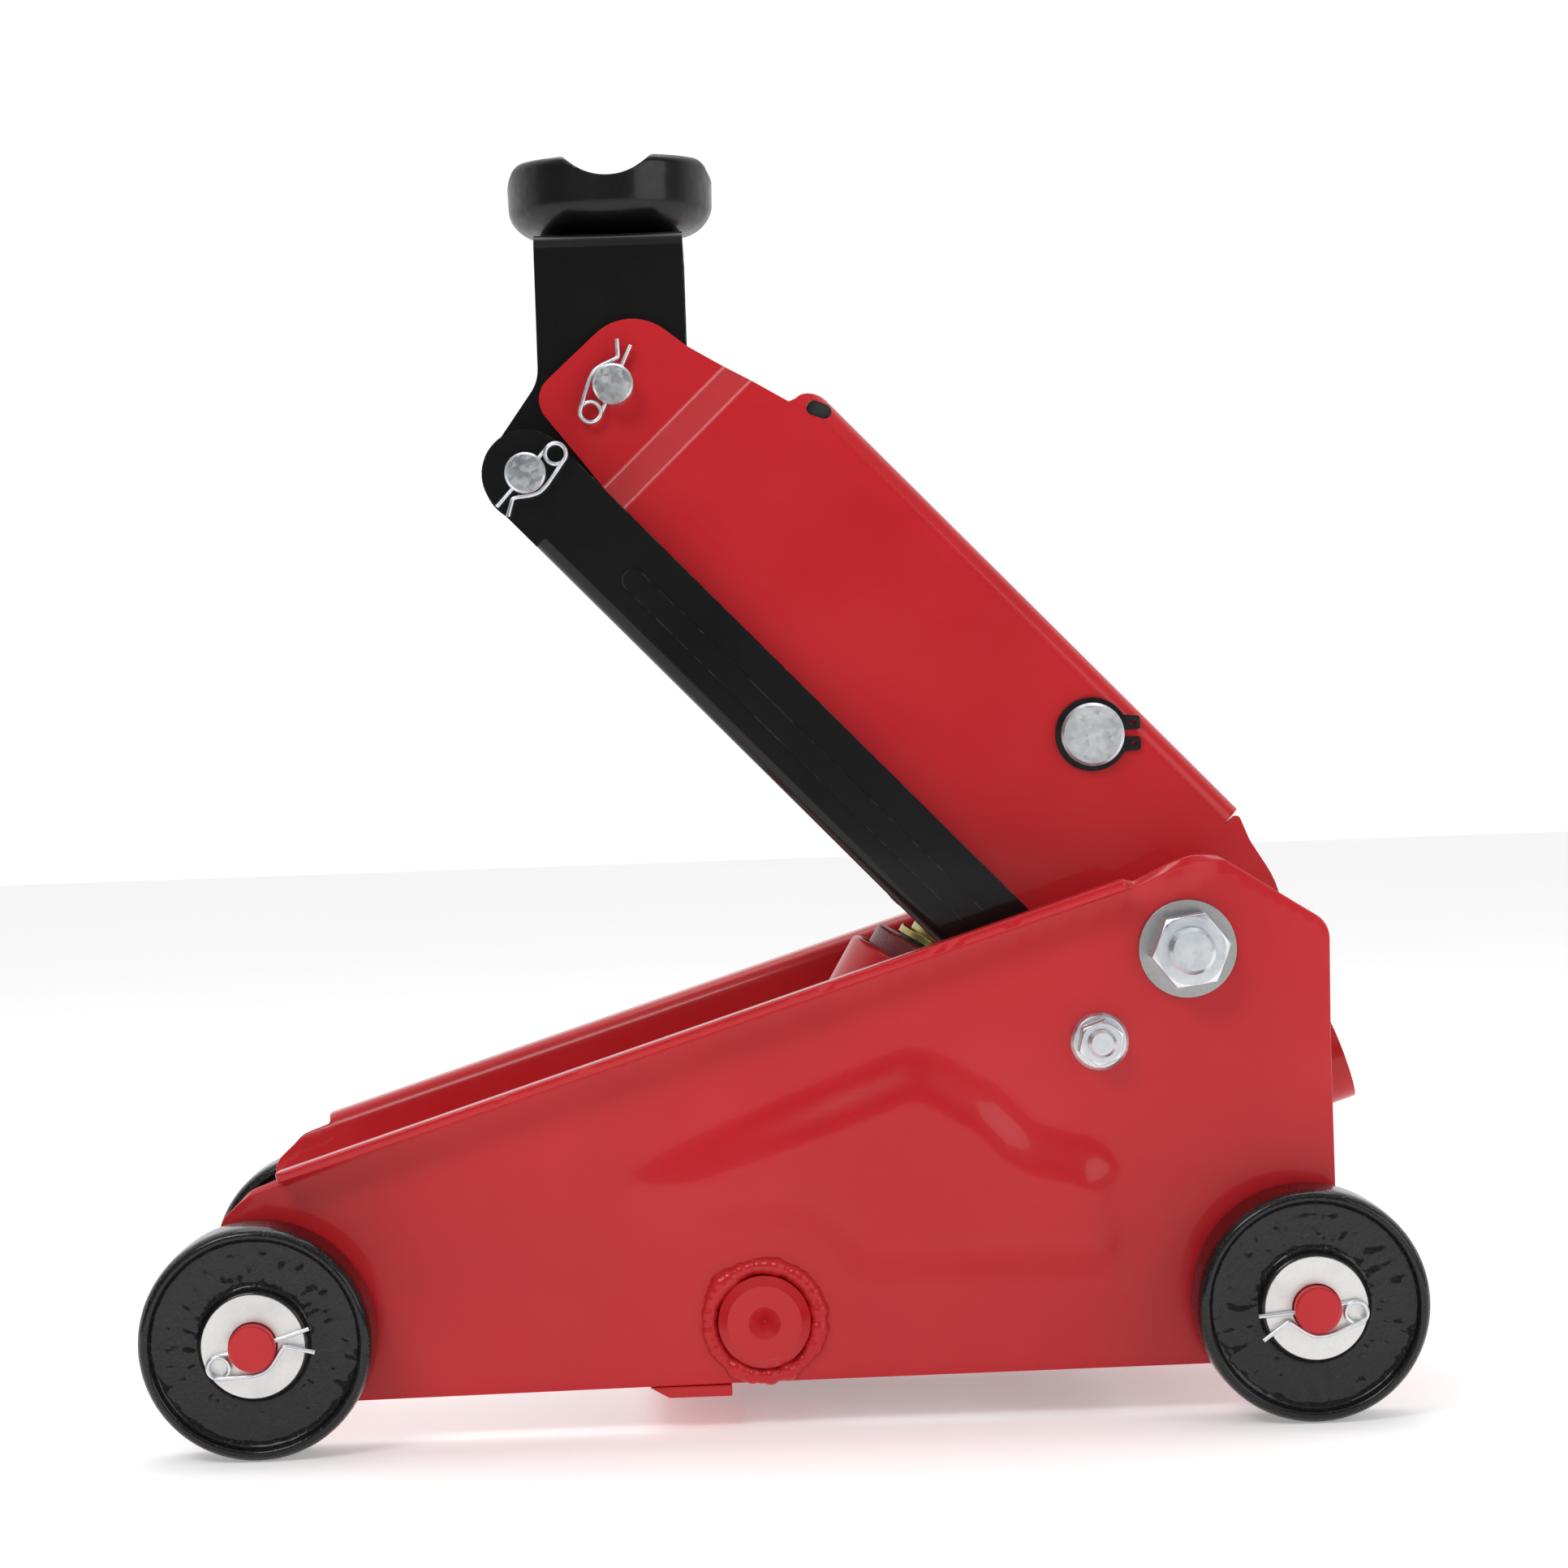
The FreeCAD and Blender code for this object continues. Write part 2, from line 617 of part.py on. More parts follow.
def return_spring():
    # Extension spring from the base lug to the push pin: an eye at each end and a close-wound body.
    low = ram_along_point(spring_lug_along)
    start = Vector(low[0], -spring_y, low[1])
    end = Vector(push_pivot[0], -spring_y, push_pivot[1])
    run = (end - start).normalize()
    body_from = start + run * 17
    body_to = end - run * 27
    coil = Part.makeCylinder(8.0, (body_to - body_from).Length, body_from, run)
    coil = coil.cut(Part.makeCylinder(5.0, 400, start - run * 20, run))
    side = Vector(0, 1, 0)
    eye = Part.makeTorus(7.0, 1.25, start, side)
    hook = Part.makeTorus(16.0, 1.25, end, side)
    shanks = [
        Part.makeCylinder(1.25, 12, start + run * 6.6, run),
        Part.makeCylinder(1.25, 13, end - run * 29, run),
    ]
    link_low = Part.makeCylinder(6.8, 1.6, body_from - run * 0.6, run)
    link_high = Part.makeCylinder(6.8, 1.6, body_to - run * 1.0, run)
    return coil.fuse([eye, hook, link_low, link_high] + shanks).removeSplitter()


def ram():
    foot = ram_foot + piston_height
    return on_ram_line(Part.makeCylinder(ram_radius, pad_top - pad_thick - foot, Vector(0, 0, foot)))


def ram_pad():
    pad = Part.makeCylinder(23.0, pad_thick, Vector(0, 0, pad_top - pad_thick))
    return on_ram_line(pad.makeChamfer(1.0, pad.Edges))


def ram_piston():
    return on_ram_line(Part.makeCylinder(20.3, piston_height, Vector(0, 0, ram_foot)))


def pump_barrel():
    barrel = Part.makeCylinder(13.0, barrel_end - pump_start, Vector(pump_start, 0, pump_z), Vector(1, 0, 0))
    bore = Part.makeCylinder(8.0 + RUN, 60, Vector(94, 0, pump_z), Vector(1, 0, 0))
    return barrel.cut(bore)


plunger_face = socket_pivot[0] - roller_radius - 0.5


def pump_plunger():
    rod = Part.makeCylinder(8.0, plunger_face - 104, Vector(104, 0, pump_z), Vector(1, 0, 0))
    head = Part.makeCylinder(11.0, 4.0, Vector(plunger_face - 4, 0, pump_z), Vector(1, 0, 0))
    return rod.fuse(head).removeSplitter()


def plunger_spring():
    length = plunger_face - 4.2 - barrel_end - 0.2
    start = Vector(barrel_end + 0.1, 0, pump_z)
    coil = Part.makeCylinder(11.5, length, start, Vector(1, 0, 0))
    return coil.cut(Part.makeCylinder(9.0, length + 2, start - Vector(1, 0, 0), Vector(1, 0, 0)))


def release_valve():
    # Valve spindle with a cross slot that the handle's tip turns.
    spindle = Part.makeCylinder(6.0, 44, Vector(94, 0, valve_height), Vector(1, 0, 0))
    knob = Part.makeCylinder(9.5, 11, Vector(130, 0, valve_height), Vector(1, 0, 0))
    slot = Part.makeBox(7, 3.4, 30, Vector(136, -1.7, valve_height - 15))
    return spindle.fuse(knob).cut(slot).removeSplitter()


# ---------- handle socket ----------

socket_turn = math.radians(socket_elevation)
socket_line = Vector(math.cos(socket_turn), 0, math.sin(socket_turn))
socket_up = Vector(-math.sin(socket_turn), 0, math.cos(socket_turn))
tube_radius = 21.0
tube_bore = 17.0
tube_from = 30.0
tube_to = 80.0
cheek_inner = 15.0
cheek_outer = 21.0
roller_at = (socket_pivot[0], socket_pivot[1] - lever_drop)


def on_socket(t, s):
    return Vector(socket_pivot[0], 0, socket_pivot[1]) + socket_line * t + socket_up * s


def handle_socket():
    # Tube for the handle, with two cheeks that turn on the ears and press the pump.
    cheek_corners = [(-13, 13, 12.9), (44, 15), (44, -15), (6, -14, 8), (0, -31, 8), (-15.5, -29, 8)]
    cheek = prism(cheek_corners, -cheek_outer, -cheek_inner, on_socket)
    tube = Part.makeCylinder(tube_radius, tube_to - tube_from, on_socket(tube_from, 0), socket_line)
    bridge = Part.makeCylinder(tube_radius, 6, on_socket(tube_from - 4, 0), socket_line)
    socket = tube.fuse([bridge, cheek, mirrored(cheek)])
    boss = Part.makeCylinder(8.5, 11, on_socket(64, 0) + Vector(0, 17.5, 0), Vector(0, 1, 0))
    socket = socket.fuse(boss)
    socket = socket.cut([
        Part.makeCylinder(tube_bore, 90, on_socket(tube_from, 0), socket_line),
        Part.makeCylinder(4.0, 40, on_socket(64, 0) + Vector(0, 5, 0), Vector(0, 1, 0)),
        cross_rod(socket_pivot, socket_pin_radius + RUN, -40, 40),
        cross_rod(roller_at, roller_pin_radius, -40, 40),
    ])
    return socket.removeSplitter()


def clamp_bolt():
    # Bolt that locks the handle in its socket.
    side = Vector(0, 1, 0)
    thread = Part.makeCylinder(3.9, 18.0, on_socket(64, 0) + side * 17.2, side)
    head = Part.makeCylinder(9.0, 7.0, on_socket(64, 0) + side * 35.2, side)
    return thread.fuse(head.makeChamfer(0.8, head.Edges)).removeSplitter()


def socket_roller():
    return cross_ring(roller_at, roller_radius, roller_pin_radius + RUN, -12, 12)


def roller_pin():
    return cross_rod(roller_at, roller_pin_radius, -cheek_outer, cheek_outer)


# ---------- nodes ----------

def export_all():
    left_plate = side_plate()
    save("side_plate_left", left_plate)
    save("side_plate_right", mirrored(left_plate))
    save("trunnion_shaft", trunnion_shaft())
    save("trunnion_welds", pair(weld_bead()))
    save("bottom_tie_plate", bottom_tie_plate())
    save("rear_tie_plate", rear_tie_plate())
    for end, at, lean, side in (("front", front_axle_at, 13, -1), ("rear", rear_axle_at, 189, 1)):
        save(end + "_axle", drilled_pin(at, axle_radius, overall_half_width, axle_clip_y, lean))
        stack = washer_stack(at)
        save(end + "_axle_washers", Part.makeCompound(stack + [mirrored(one) for one in stack]))
        save(end + "_axle_clips", pair(spring_clip(at, -axle_clip_y, axle_radius, lean, side, 25.0)))
        save("wheel_" + end + "_left", wheel(at))
        save("wheel_" + end + "_right", mirrored(wheel(at)))
    save("pivot_shaft", pivot_shaft())
    save("pivot_spacers", pair(pivot_spacer()))
    washer = cross_ring(arm_pivot, 21.3, stud_radius + 0.2, -plate_outer_y - 3, -plate_outer_y)
    save("pivot_washers", pair(washer))
    save("pivot_nuts", pair(hex_nut(arm_pivot, 30.0, 16.0, stud_radius, -plate_outer_y - 3, turn=8)))
    save("link_bolts", pair(link_bolt()))
    spacer = cross_ring(link_pivot, 12.5, link_shoulder_radius + RUN, -plate_inner_y, -rod_outer_y - 0.4)
    save("link_spacers", pair(spacer))
    link_nut = hex_nut(link_pivot, 18.0, 12.0, link_thread_radius, -plate_outer_y, flange=12.8, turn=20)
    save("link_nuts", pair(link_nut))
    save("lift_arm", lift_arm())
    save("fold_plugs", pair(fold_plug()))
    save("arm_pivot_tube", arm_pivot_tube())
    save("push_pin", push_pin())
    save("push_circlips", pair(push_circlip()))
    rod = link_rod()
    save("link_rod_left", rod)
    save("link_rod_right", mirrored(rod))
    save("saddle_bracket", saddle_bracket())
    save("upper_pin", drilled_pin(saddle_pivot, pin_radius, 76.0, upper_clip_y, 65))
    save("upper_pin_clips", pair(spring_clip(saddle_pivot, -upper_clip_y, pin_radius, 65, 1, 19.4)))
    save("lower_pin", drilled_pin(lower_pivot, pin_radius, 94.5, lower_clip_y, 228))
    save("lower_pin_clips", pair(spring_clip(lower_pivot, -lower_clip_y, pin_radius, 228, 1, 19.4)))
    save("lower_spacers", pair(lower_spacer()))
    save("saddle_cup", saddle_cup())
    save("saddle_bolt", saddle_bolt())
    save("power_unit_base", power_unit_base())
    save("spring_lugs", pair(spring_lug()))
    save("reservoir_tube", stacked_ring(40.5, 37.0, deck, tank_top, 3.0))
    save("pressure_cylinder", stacked_ring(27.0, 20.35, deck, tank_top - 8))
    save("cylinder_cap", stacked_ring(33.0, ram_radius + RUN, tank_top - 8, cap_top, 2.0))
    save("tank_lid", stacked_ring(36.9, 33.05, tank_top - 8, tank_top - 2))
    save("gland_ring", stacked_ring(23.5, ram_radius + RUN, cap_top + 1.8, cap_top + 5.6, 1.2))
    save("wiper_seal", stacked_ring(22.0, ram_radius + 0.3, cap_top, cap_top + 1.8))
    save("return_spring_left", return_spring())
    save("return_spring_right", mirrored(return_spring()))
    save("ram", ram())
    save("ram_pad", ram_pad())
    save("ram_piston", ram_piston())
    save("pump_barrel", pump_barrel())
    save("pump_plunger", pump_plunger())
    save("plunger_spring", plunger_spring())
    save("release_valve", release_valve())
    save("handle_socket", handle_socket())
    save("clamp_bolt", clamp_bolt())
    save("socket_roller", socket_roller())
    save("roller_pin", roller_pin())
    save("socket_pivot_pin", chamfered_rod(socket_pivot, socket_pin_radius - RUN, -34, 34, 0.8))


export_all()
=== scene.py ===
import bmesh
import bpy
import json
import math
from mathutils import Matrix, Quaternion, Vector, geometry, noise


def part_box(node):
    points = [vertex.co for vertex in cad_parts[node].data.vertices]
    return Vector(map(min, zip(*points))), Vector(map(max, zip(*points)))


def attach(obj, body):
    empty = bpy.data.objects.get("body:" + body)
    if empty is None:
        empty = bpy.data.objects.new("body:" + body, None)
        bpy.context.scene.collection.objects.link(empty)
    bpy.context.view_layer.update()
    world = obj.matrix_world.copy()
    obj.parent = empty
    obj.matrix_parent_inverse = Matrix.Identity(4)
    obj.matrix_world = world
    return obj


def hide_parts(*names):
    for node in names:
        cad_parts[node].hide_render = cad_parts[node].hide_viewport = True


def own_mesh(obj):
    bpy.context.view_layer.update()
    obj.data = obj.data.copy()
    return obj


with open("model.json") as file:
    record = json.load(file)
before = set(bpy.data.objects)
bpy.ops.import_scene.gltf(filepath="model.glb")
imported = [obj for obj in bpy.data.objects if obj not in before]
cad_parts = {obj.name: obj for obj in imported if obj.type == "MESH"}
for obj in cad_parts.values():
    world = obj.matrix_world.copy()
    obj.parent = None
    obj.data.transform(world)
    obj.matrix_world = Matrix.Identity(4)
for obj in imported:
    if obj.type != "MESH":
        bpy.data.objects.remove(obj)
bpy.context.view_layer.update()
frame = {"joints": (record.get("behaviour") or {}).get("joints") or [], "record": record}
mm = 0.001
joints = {joint["name"]: joint for joint in frame["joints"]}
slotOf = {part["node"]: part["material_slot"] for part in frame["record"]["subparts"]}
bodies = frame["record"]["behaviour"]["bodies"]
bodyOf = {node: body for body, names in bodies.items() for node in names}


def pivot(name):
    return Vector(joints[name]["pos_m"])


def boxCentre(node):
    low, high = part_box(node)
    return (Vector(low) + Vector(high)) / 2


armPivot = pivot("arm_lift")
linkPivot = pivot("link_swing")
saddlePivot = pivot("saddle_level")
trunnion = pivot("power_unit_swing")
lowerPivot = saddlePivot + linkPivot - armPivot
pushPivot = boxCentre("push_pin")
ramLine = Vector(joints["ram_slide"]["axis"]).normalized()


# small tools

def newObject(name, data):
    piece = bpy.data.objects.new(name, data)
    bpy.context.scene.collection.objects.link(piece)
    return piece


def objectOf(name, bm):
    mesh = bpy.data.meshes.new(name)
    bm.to_mesh(mesh)
    bm.free()
    return newObject(name, mesh)


def meshFrom(name, build):
    # build fills a bmesh; doubles are merged and the faces turned outwards
    bm = bmesh.new()
    build(bm)
    bmesh.ops.remove_doubles(bm, verts=bm.verts, dist=1e-6)
    bmesh.ops.recalc_face_normals(bm, faces=bm.faces)
    return objectOf(name, bm)


def applied(piece, name):
    # bakes every modifier into a plain mesh, on a new object
    bpy.context.view_layer.update()
    graph = bpy.context.evaluated_depsgraph_get()
    mesh = bpy.data.meshes.new_from_object(piece.evaluated_get(graph))
    bpy.data.objects.remove(piece)
    return newObject(name, mesh)


def smoothed(piece):
    for face in piece.data.polygons:
        face.use_smooth = True
    return piece


def withMaterial(piece, material):
    piece.data.materials.clear()
    piece.data.materials.append(material)
    return piece


def settle(piece, node, material):
    # the piece stands for a node of the frame, rides where that node rides and takes its slot
    withMaterial(piece, material)
    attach(piece, bodyOf[node])
    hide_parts(node)
    return piece


def mirroredCopy(piece, name):
    mesh = piece.data.copy()
    mesh.transform(Matrix.Scale(-1, 4, Vector((0, 1, 0))))
    mesh.flip_normals()
    return newObject(name, mesh)


def smoothStep(value, low, high):
    t = min(max((value - low) / (high - low), 0), 1)
    return t * t * (3 - 2 * t)


def bridgeRings(bm, rings):
    # quads between neighbouring rings of vertices, round a closed row of closed rings
    count = len(rings[0])
    for i in range(len(rings)):
        a, b = rings[i], rings[(i + 1) % len(rings)]
        for k in range(count):
            n = (k + 1) % count
            bm.faces.new((a[k], a[n], b[n], b[k]))


def roundedPath(corners, steps=6):
    # closed list of 2D points; a corner is (a, b) or (a, b, radius)
    points = []
    for i, corner in enumerate(corners):
        here = Vector(corner[:2])
        if len(corner) < 3:
            points.append(here)
            continue
        back = (Vector(corners[i - 1][:2]) - here).normalized()
        ahead = (Vector(corners[(i + 1) % len(corners)][:2]) - here).normalized()
        half = back.angle(ahead) / 2
        centre = here + (back + ahead).normalized() * (corner[2] / math.sin(half))
        reach = corner[2] / math.tan(half)
        first = here + back * reach - centre
        last = here + ahead * reach - centre
        turn = first.angle_signed(last)
        for k in range(steps + 1):
            spin = Matrix.Rotation(-turn * k / steps, 2)
            points.append(centre + spin @ first)
    return points


# shader groups, used by several finishes

def nodeGroup(name, kind, inputs, outputs):
    # inputs are (label, kind of data, value), outputs are (label, kind of data)
    tree = bpy.data.node_groups.new(name, kind)
    new = tree.interface.new_socket
    for label, data, value in inputs:
        socket = new(label, in_out="INPUT", socket_type="NodeSocket" + data)
        if value is not None:
            socket.default_value = value
    for label, data in outputs:
        new(label, in_out="OUTPUT", socket_type="NodeSocket" + data)
    return tree, tree.nodes.new("NodeGroupInput"), tree.nodes.new("NodeGroupOutput")


def feedSocket(tree, value, socket):
    # value is another node's output or a plain setting
    if isinstance(value, bpy.types.NodeSocket):
        tree.links.new(value, socket)
    else:
        socket.default_value = value


def addNode(tree, kind, mode=None, **inputs):
    node = tree.nodes.new(kind)
    if mode is not None:
        node.mode = mode
    for label, value in inputs.items():
        feedSocket(tree, value, node.inputs[label.replace("_", " ")])
    return node


def mathNode(tree, operation, a, b, clamp=False):
    node = tree.nodes.new("ShaderNodeMath")
    node.operation = operation
    node.use_clamp = clamp
    feedSocket(tree, a, node.inputs[0])
    feedSocket(tree, b, node.inputs[1])
    return node.outputs[0]


def rangeNode(tree, value, low, high, outLow=0.0, outHigh=1.0):
    node = addNode(tree, "ShaderNodeMapRange", Value=value, From_Min=low, From_Max=high,
                   To_Min=outLow, To_Max=outHigh)
    node.interpolation_type = "SMOOTHSTEP"
    return node.outputs["Result"]


def noiseNode(tree, vector, scale, detail=2.0, rough=0.5):
    return addNode(tree, "ShaderNodeTexNoise", Vector=vector, Scale=scale, Detail=detail,
                   Roughness=rough).outputs["Fac"]


def makeOrangePeel():
    # fine waviness of sprayed enamel, as a height in metres
    tree, given, out = nodeGroup("orangePeel", "ShaderNodeTree", [
        ("Vector", "Vector", None), ("Scale", "Float", 300.0), ("Depth", "Float", 0.00004)],
        [("Height", "Float")])
    at, scale = given.outputs["Vector"], given.outputs["Scale"]
    fine = noiseNode(tree, at, scale, 1.0)
    coarse = noiseNode(tree, at, mathNode(tree, "MULTIPLY", scale, 0.16), 1.0)
    both = mathNode(tree, "ADD", fine, mathNode(tree, "MULTIPLY", coarse, 2.2))
    tree.links.new(mathNode(tree, "MULTIPLY", both, given.outputs["Depth"]), out.inputs["Height"])
    return tree


def makeCastGrain():
    # sand-cast skin under paint: rounded lumps and small pits
    tree, given, out = nodeGroup("castGrain", "ShaderNodeTree", [
        ("Vector", "Vector", None), ("Scale", "Float", 260.0), ("Depth", "Float", 0.0003)],
        [("Height", "Float"), ("Pits", "Float")])
    at, scale = given.outputs["Vector"], given.outputs["Scale"]
    lumps = noiseNode(tree, at, scale, 3.0, 0.6)
    cells = addNode(tree, "ShaderNodeTexVoronoi", Vector=at,
                    Scale=mathNode(tree, "MULTIPLY", scale, 1.3))
    cells.feature = "SMOOTH_F1"
    pits = rangeNode(tree, cells.outputs["Distance"], 0.05, 0.45)
    height = mathNode(tree, "ADD", lumps, mathNode(tree, "MULTIPLY", pits, 0.5))
    tree.links.new(mathNode(tree, "MULTIPLY", height, given.outputs["Depth"]), out.inputs["Height"])
    tree.links.new(pits, out.inputs["Pits"])
    return tree


def makeEdgeWearAndHighlight():
    # where corners are rubbed and where a painted edge highlight goes: a bevelled normal set
    # against the true one, broken up by noise
    tree, given, out = nodeGroup("edgeWearAndHighlight", "ShaderNodeTree", [
        ("Vector", "Vector", None), ("Amount", "Float", 0.5), ("Scale", "Float", 120.0)],
        [("Mask", "Float")])
    bevel = addNode(tree, "ShaderNodeBevel", Radius=0.0011)
    bevel.samples = 4
    surface = tree.nodes.new("ShaderNodeNewGeometry")
    dot = tree.nodes.new("ShaderNodeVectorMath")
    dot.operation = "DOT_PRODUCT"
    tree.links.new(bevel.outputs["Normal"], dot.inputs[0])
    tree.links.new(surface.outputs["Normal"], dot.inputs[1])
    corner = rangeNode(tree, mathNode(tree, "SUBTRACT", 1.0, dot.outputs["Value"]), 0.07, 0.28)
    grain = noiseNode(tree, given.outputs["Vector"], given.outputs["Scale"], 4.0)
    rubbedAndLit = mathNode(tree, "MULTIPLY", corner, rangeNode(tree, grain, 0.42, 0.62))
    mask = mathNode(tree, "MULTIPLY", rubbedAndLit, given.outputs["Amount"], True)
    tree.links.new(mask, out.inputs["Mask"])
    return tree


def makeDustFilm():
    # thin uneven dust and handling marks, heavier on faces that look up
    tree, given, out = nodeGroup("dustFilm", "ShaderNodeTree", [
        ("Vector", "Vector", None), ("Amount", "Float", 0.3), ("Scale", "Float", 14.0)],
        [("Mask", "Float")])
    at, scale = given.outputs["Vector"], given.outputs["Scale"]
    surface = tree.nodes.new("ShaderNodeNewGeometry")
    split = tree.nodes.new("ShaderNodeSeparateXYZ")
    tree.links.new(surface.outputs["Normal"], split.inputs[0])
    up = rangeNode(tree, split.outputs["Z"], -0.2, 1.0, 0.35, 1.0)
    cloud = rangeNode(tree, noiseNode(tree, at, scale, 6.0, 0.62), 0.35, 0.75)
    speck = noiseNode(tree, at, mathNode(tree, "MULTIPLY", scale, 60.0), 1.0)
    fleck = rangeNode(tree, speck, 0.66, 0.74, 0.0, 0.7)
    both = mathNode(tree, "ADD", cloud, fleck, True)
    settled = mathNode(tree, "MULTIPLY", both, up)
    mask = mathNode(tree, "MULTIPLY", settled, given.outputs["Amount"], True)
    tree.links.new(mask, out.inputs["Mask"])
    return tree


def makePlateMottle():
    # crystalline mottle of zinc plate
    tree, given, out = nodeGroup("plateMottle", "ShaderNodeTree", [
        ("Vector", "Vector", None), ("Scale", "Float", 500.0)],
        [("Mottle", "Float"), ("Height", "Float")])
    at, scale = given.outputs["Vector"], given.outputs["Scale"]
    cells = addNode(tree, "ShaderNodeTexVoronoi", Vector=at, Scale=scale)
    grey = addNode(tree, "ShaderNodeSeparateColor", Color=cells.outputs["Color"])
    cloud = noiseNode(tree, at, mathNode(tree, "MULTIPLY", scale, 0.25), 5.0, 0.65)
    mottle = mathNode(tree, "ADD", mathNode(tree, "MULTIPLY", grey.outputs[0], 0.35),
                      mathNode(tree, "MULTIPLY", cloud, 0.75), True)
    tree.links.new(mottle, out.inputs["Mottle"])
    tree.links.new(mathNode(tree, "MULTIPLY", mottle, 0.00003), out.inputs["Height"])
    return tree


groups = {
    "orangePeel": makeOrangePeel(),
    "castGrain": makeCastGrain(),
    "edgeWearAndHighlight": makeEdgeWearAndHighlight(),
    "dustFilm": makeDustFilm(),
    "plateMottle": makePlateMottle(),
}
print("shader groups ready")


# finishes

class Finish:
    # a material being wired: keeps the tree, its shader and the object coordinates together
    def __init__(self, name, **sockets):
        self.material = bpy.data.materials.new(name)
        self.material.use_nodes = True
        self.tree = self.material.node_tree
        self.shader = self.tree.nodes["Principled BSDF"]
        for label, value in sockets.items():
            self.shader.inputs[label.replace("_", " ")].default_value = value
        self.where = self.tree.nodes.new("ShaderNodeTexCoord").outputs["Object"]

    def group(self, name, **values):
        node = self.tree.nodes.new("ShaderNodeGroup")
        node.node_tree = groups[name]
        self.tree.links.new(self.where, node.inputs["Vector"])
        for label, value in values.items():
            node.inputs[label].default_value = value
        return node

    def mix(self, factor, a, b):
        node = self.tree.nodes.new("ShaderNodeMix")
        node.data_type = "RGBA"
        self.tree.links.new(factor, node.inputs["Factor"])
        for index, value in ((6, a), (7, b)):
            colour = (*value, 1) if isinstance(value, tuple) else value
            feedSocket(self.tree, colour, node.inputs[index])
        return node.outputs[2]

    def noise(self, scale, detail=2.0, rough=0.5):
        return noiseNode(self.tree, self.where, scale, detail, rough)

    def bump(self, height):
        node = addNode(self.tree, "ShaderNodeBump", Strength=1.0, Distance=1.0, Height=height)
        self.feed("Normal", node.outputs["Normal"])

    def feed(self, label, value):
        self.tree.links.new(value, self.shader.inputs[label])


def roughened(f, look, film, mask, amount):
    # the finish's own roughness, raised by the dust film and by one more mask
    dusty = mathNode(f.tree, "MULTIPLY", film.outputs["Mask"], 0.35)
    rough = mathNode(f.tree, "ADD", dusty, look["roughness"])
    return mathNode(f.tree, "ADD", rough, mathNode(f.tree, "MULTIPLY", mask, amount), True)


def enamel(name, look):
    # sprayed gloss enamel over sheet steel
    f = Finish(name, Metallic=0.0, Coat_Weight=look["coat"], Coat_Roughness=look["coatRoughness"],
               Specular_IOR_Level=look["gloss"])
    drift = rangeNode(f.tree, f.noise(look["driftScale"], 3.0), 0.3, 0.7)
    colour = f.mix(drift, look["colour"], look["shade"])
    film = f.group("dustFilm", Amount=look["dust"], Scale=look["dustScale"])
    colour = f.mix(film.outputs["Mask"], colour, look["dustColour"])
    wearAndHighlight = f.group("edgeWearAndHighlight", Amount=look["wearAndHighlight"], Scale=look["wearAndHighlightScale"])
    # lighter colour on the corners: partly rubbed paint, partly a painted edge highlight
    colour = f.mix(wearAndHighlight.outputs["Mask"], colour, look["wearAndHighlightColour"])
    f.feed("Base Color", colour)
    f.feed("Roughness", roughened(f, look, film, wearAndHighlight.outputs["Mask"], 0.3))
    peel = f.group("orangePeel", Scale=look["peelScale"], Depth=look["peelDepth"])
    f.bump(peel.outputs["Height"])
    return f.material


def castEnamel(name, look):
    # enamel over a sand casting: the grain shows through
    f = Finish(name, Metallic=0.0, Coat_Weight=look["coat"], Coat_Roughness=look["coatRoughness"],
               Specular_IOR_Level=look["gloss"])
    grain = f.group("castGrain", Scale=look["grainScale"], Depth=look["grainDepth"])
    film = f.group("dustFilm", Amount=look["dust"], Scale=look["dustScale"])
    wearAndHighlight = f.group("edgeWearAndHighlight", Amount=look["wearAndHighlight"], Scale=look["wearAndHighlightScale"])
    colour = f.mix(grain.outputs["Pits"], look["shade"], look["colour"])
    colour = f.mix(film.outputs["Mask"], colour, look["dustColour"])
    # lighter colour on the corners: partly rubbed paint, partly a painted edge highlight
    colour = f.mix(wearAndHighlight.outputs["Mask"], colour, look["wearAndHighlightColour"])
    f.feed("Base Color", colour)
    f.feed("Roughness", roughened(f, look, film, grain.outputs["Pits"], 0.08))
    f.bump(grain.outputs["Height"])
    return f.material


def plated(name, look):
    # electroplated steel: mottled metal
    f = Finish(name, Metallic=1.0)
    mottle = f.group("plateMottle", Scale=look["scale"])
    colour = f.mix(mottle.outputs["Mottle"], look["shade"], look["colour"])
    cloud = f.noise(look["tintScale"], 4.0, 0.6)
    tint = rangeNode(f.tree, cloud, 0.4, 0.7, 0.0, look["tintAmount"])
    f.feed("Base Color", f.mix(tint, colour, look["tint"]))
    f.feed("Roughness", rangeNode(f.tree, mottle.outputs["Mottle"], 0.1, 0.9, *look["rough"]))
    f.bump(mottle.outputs["Height"])
    return f.material


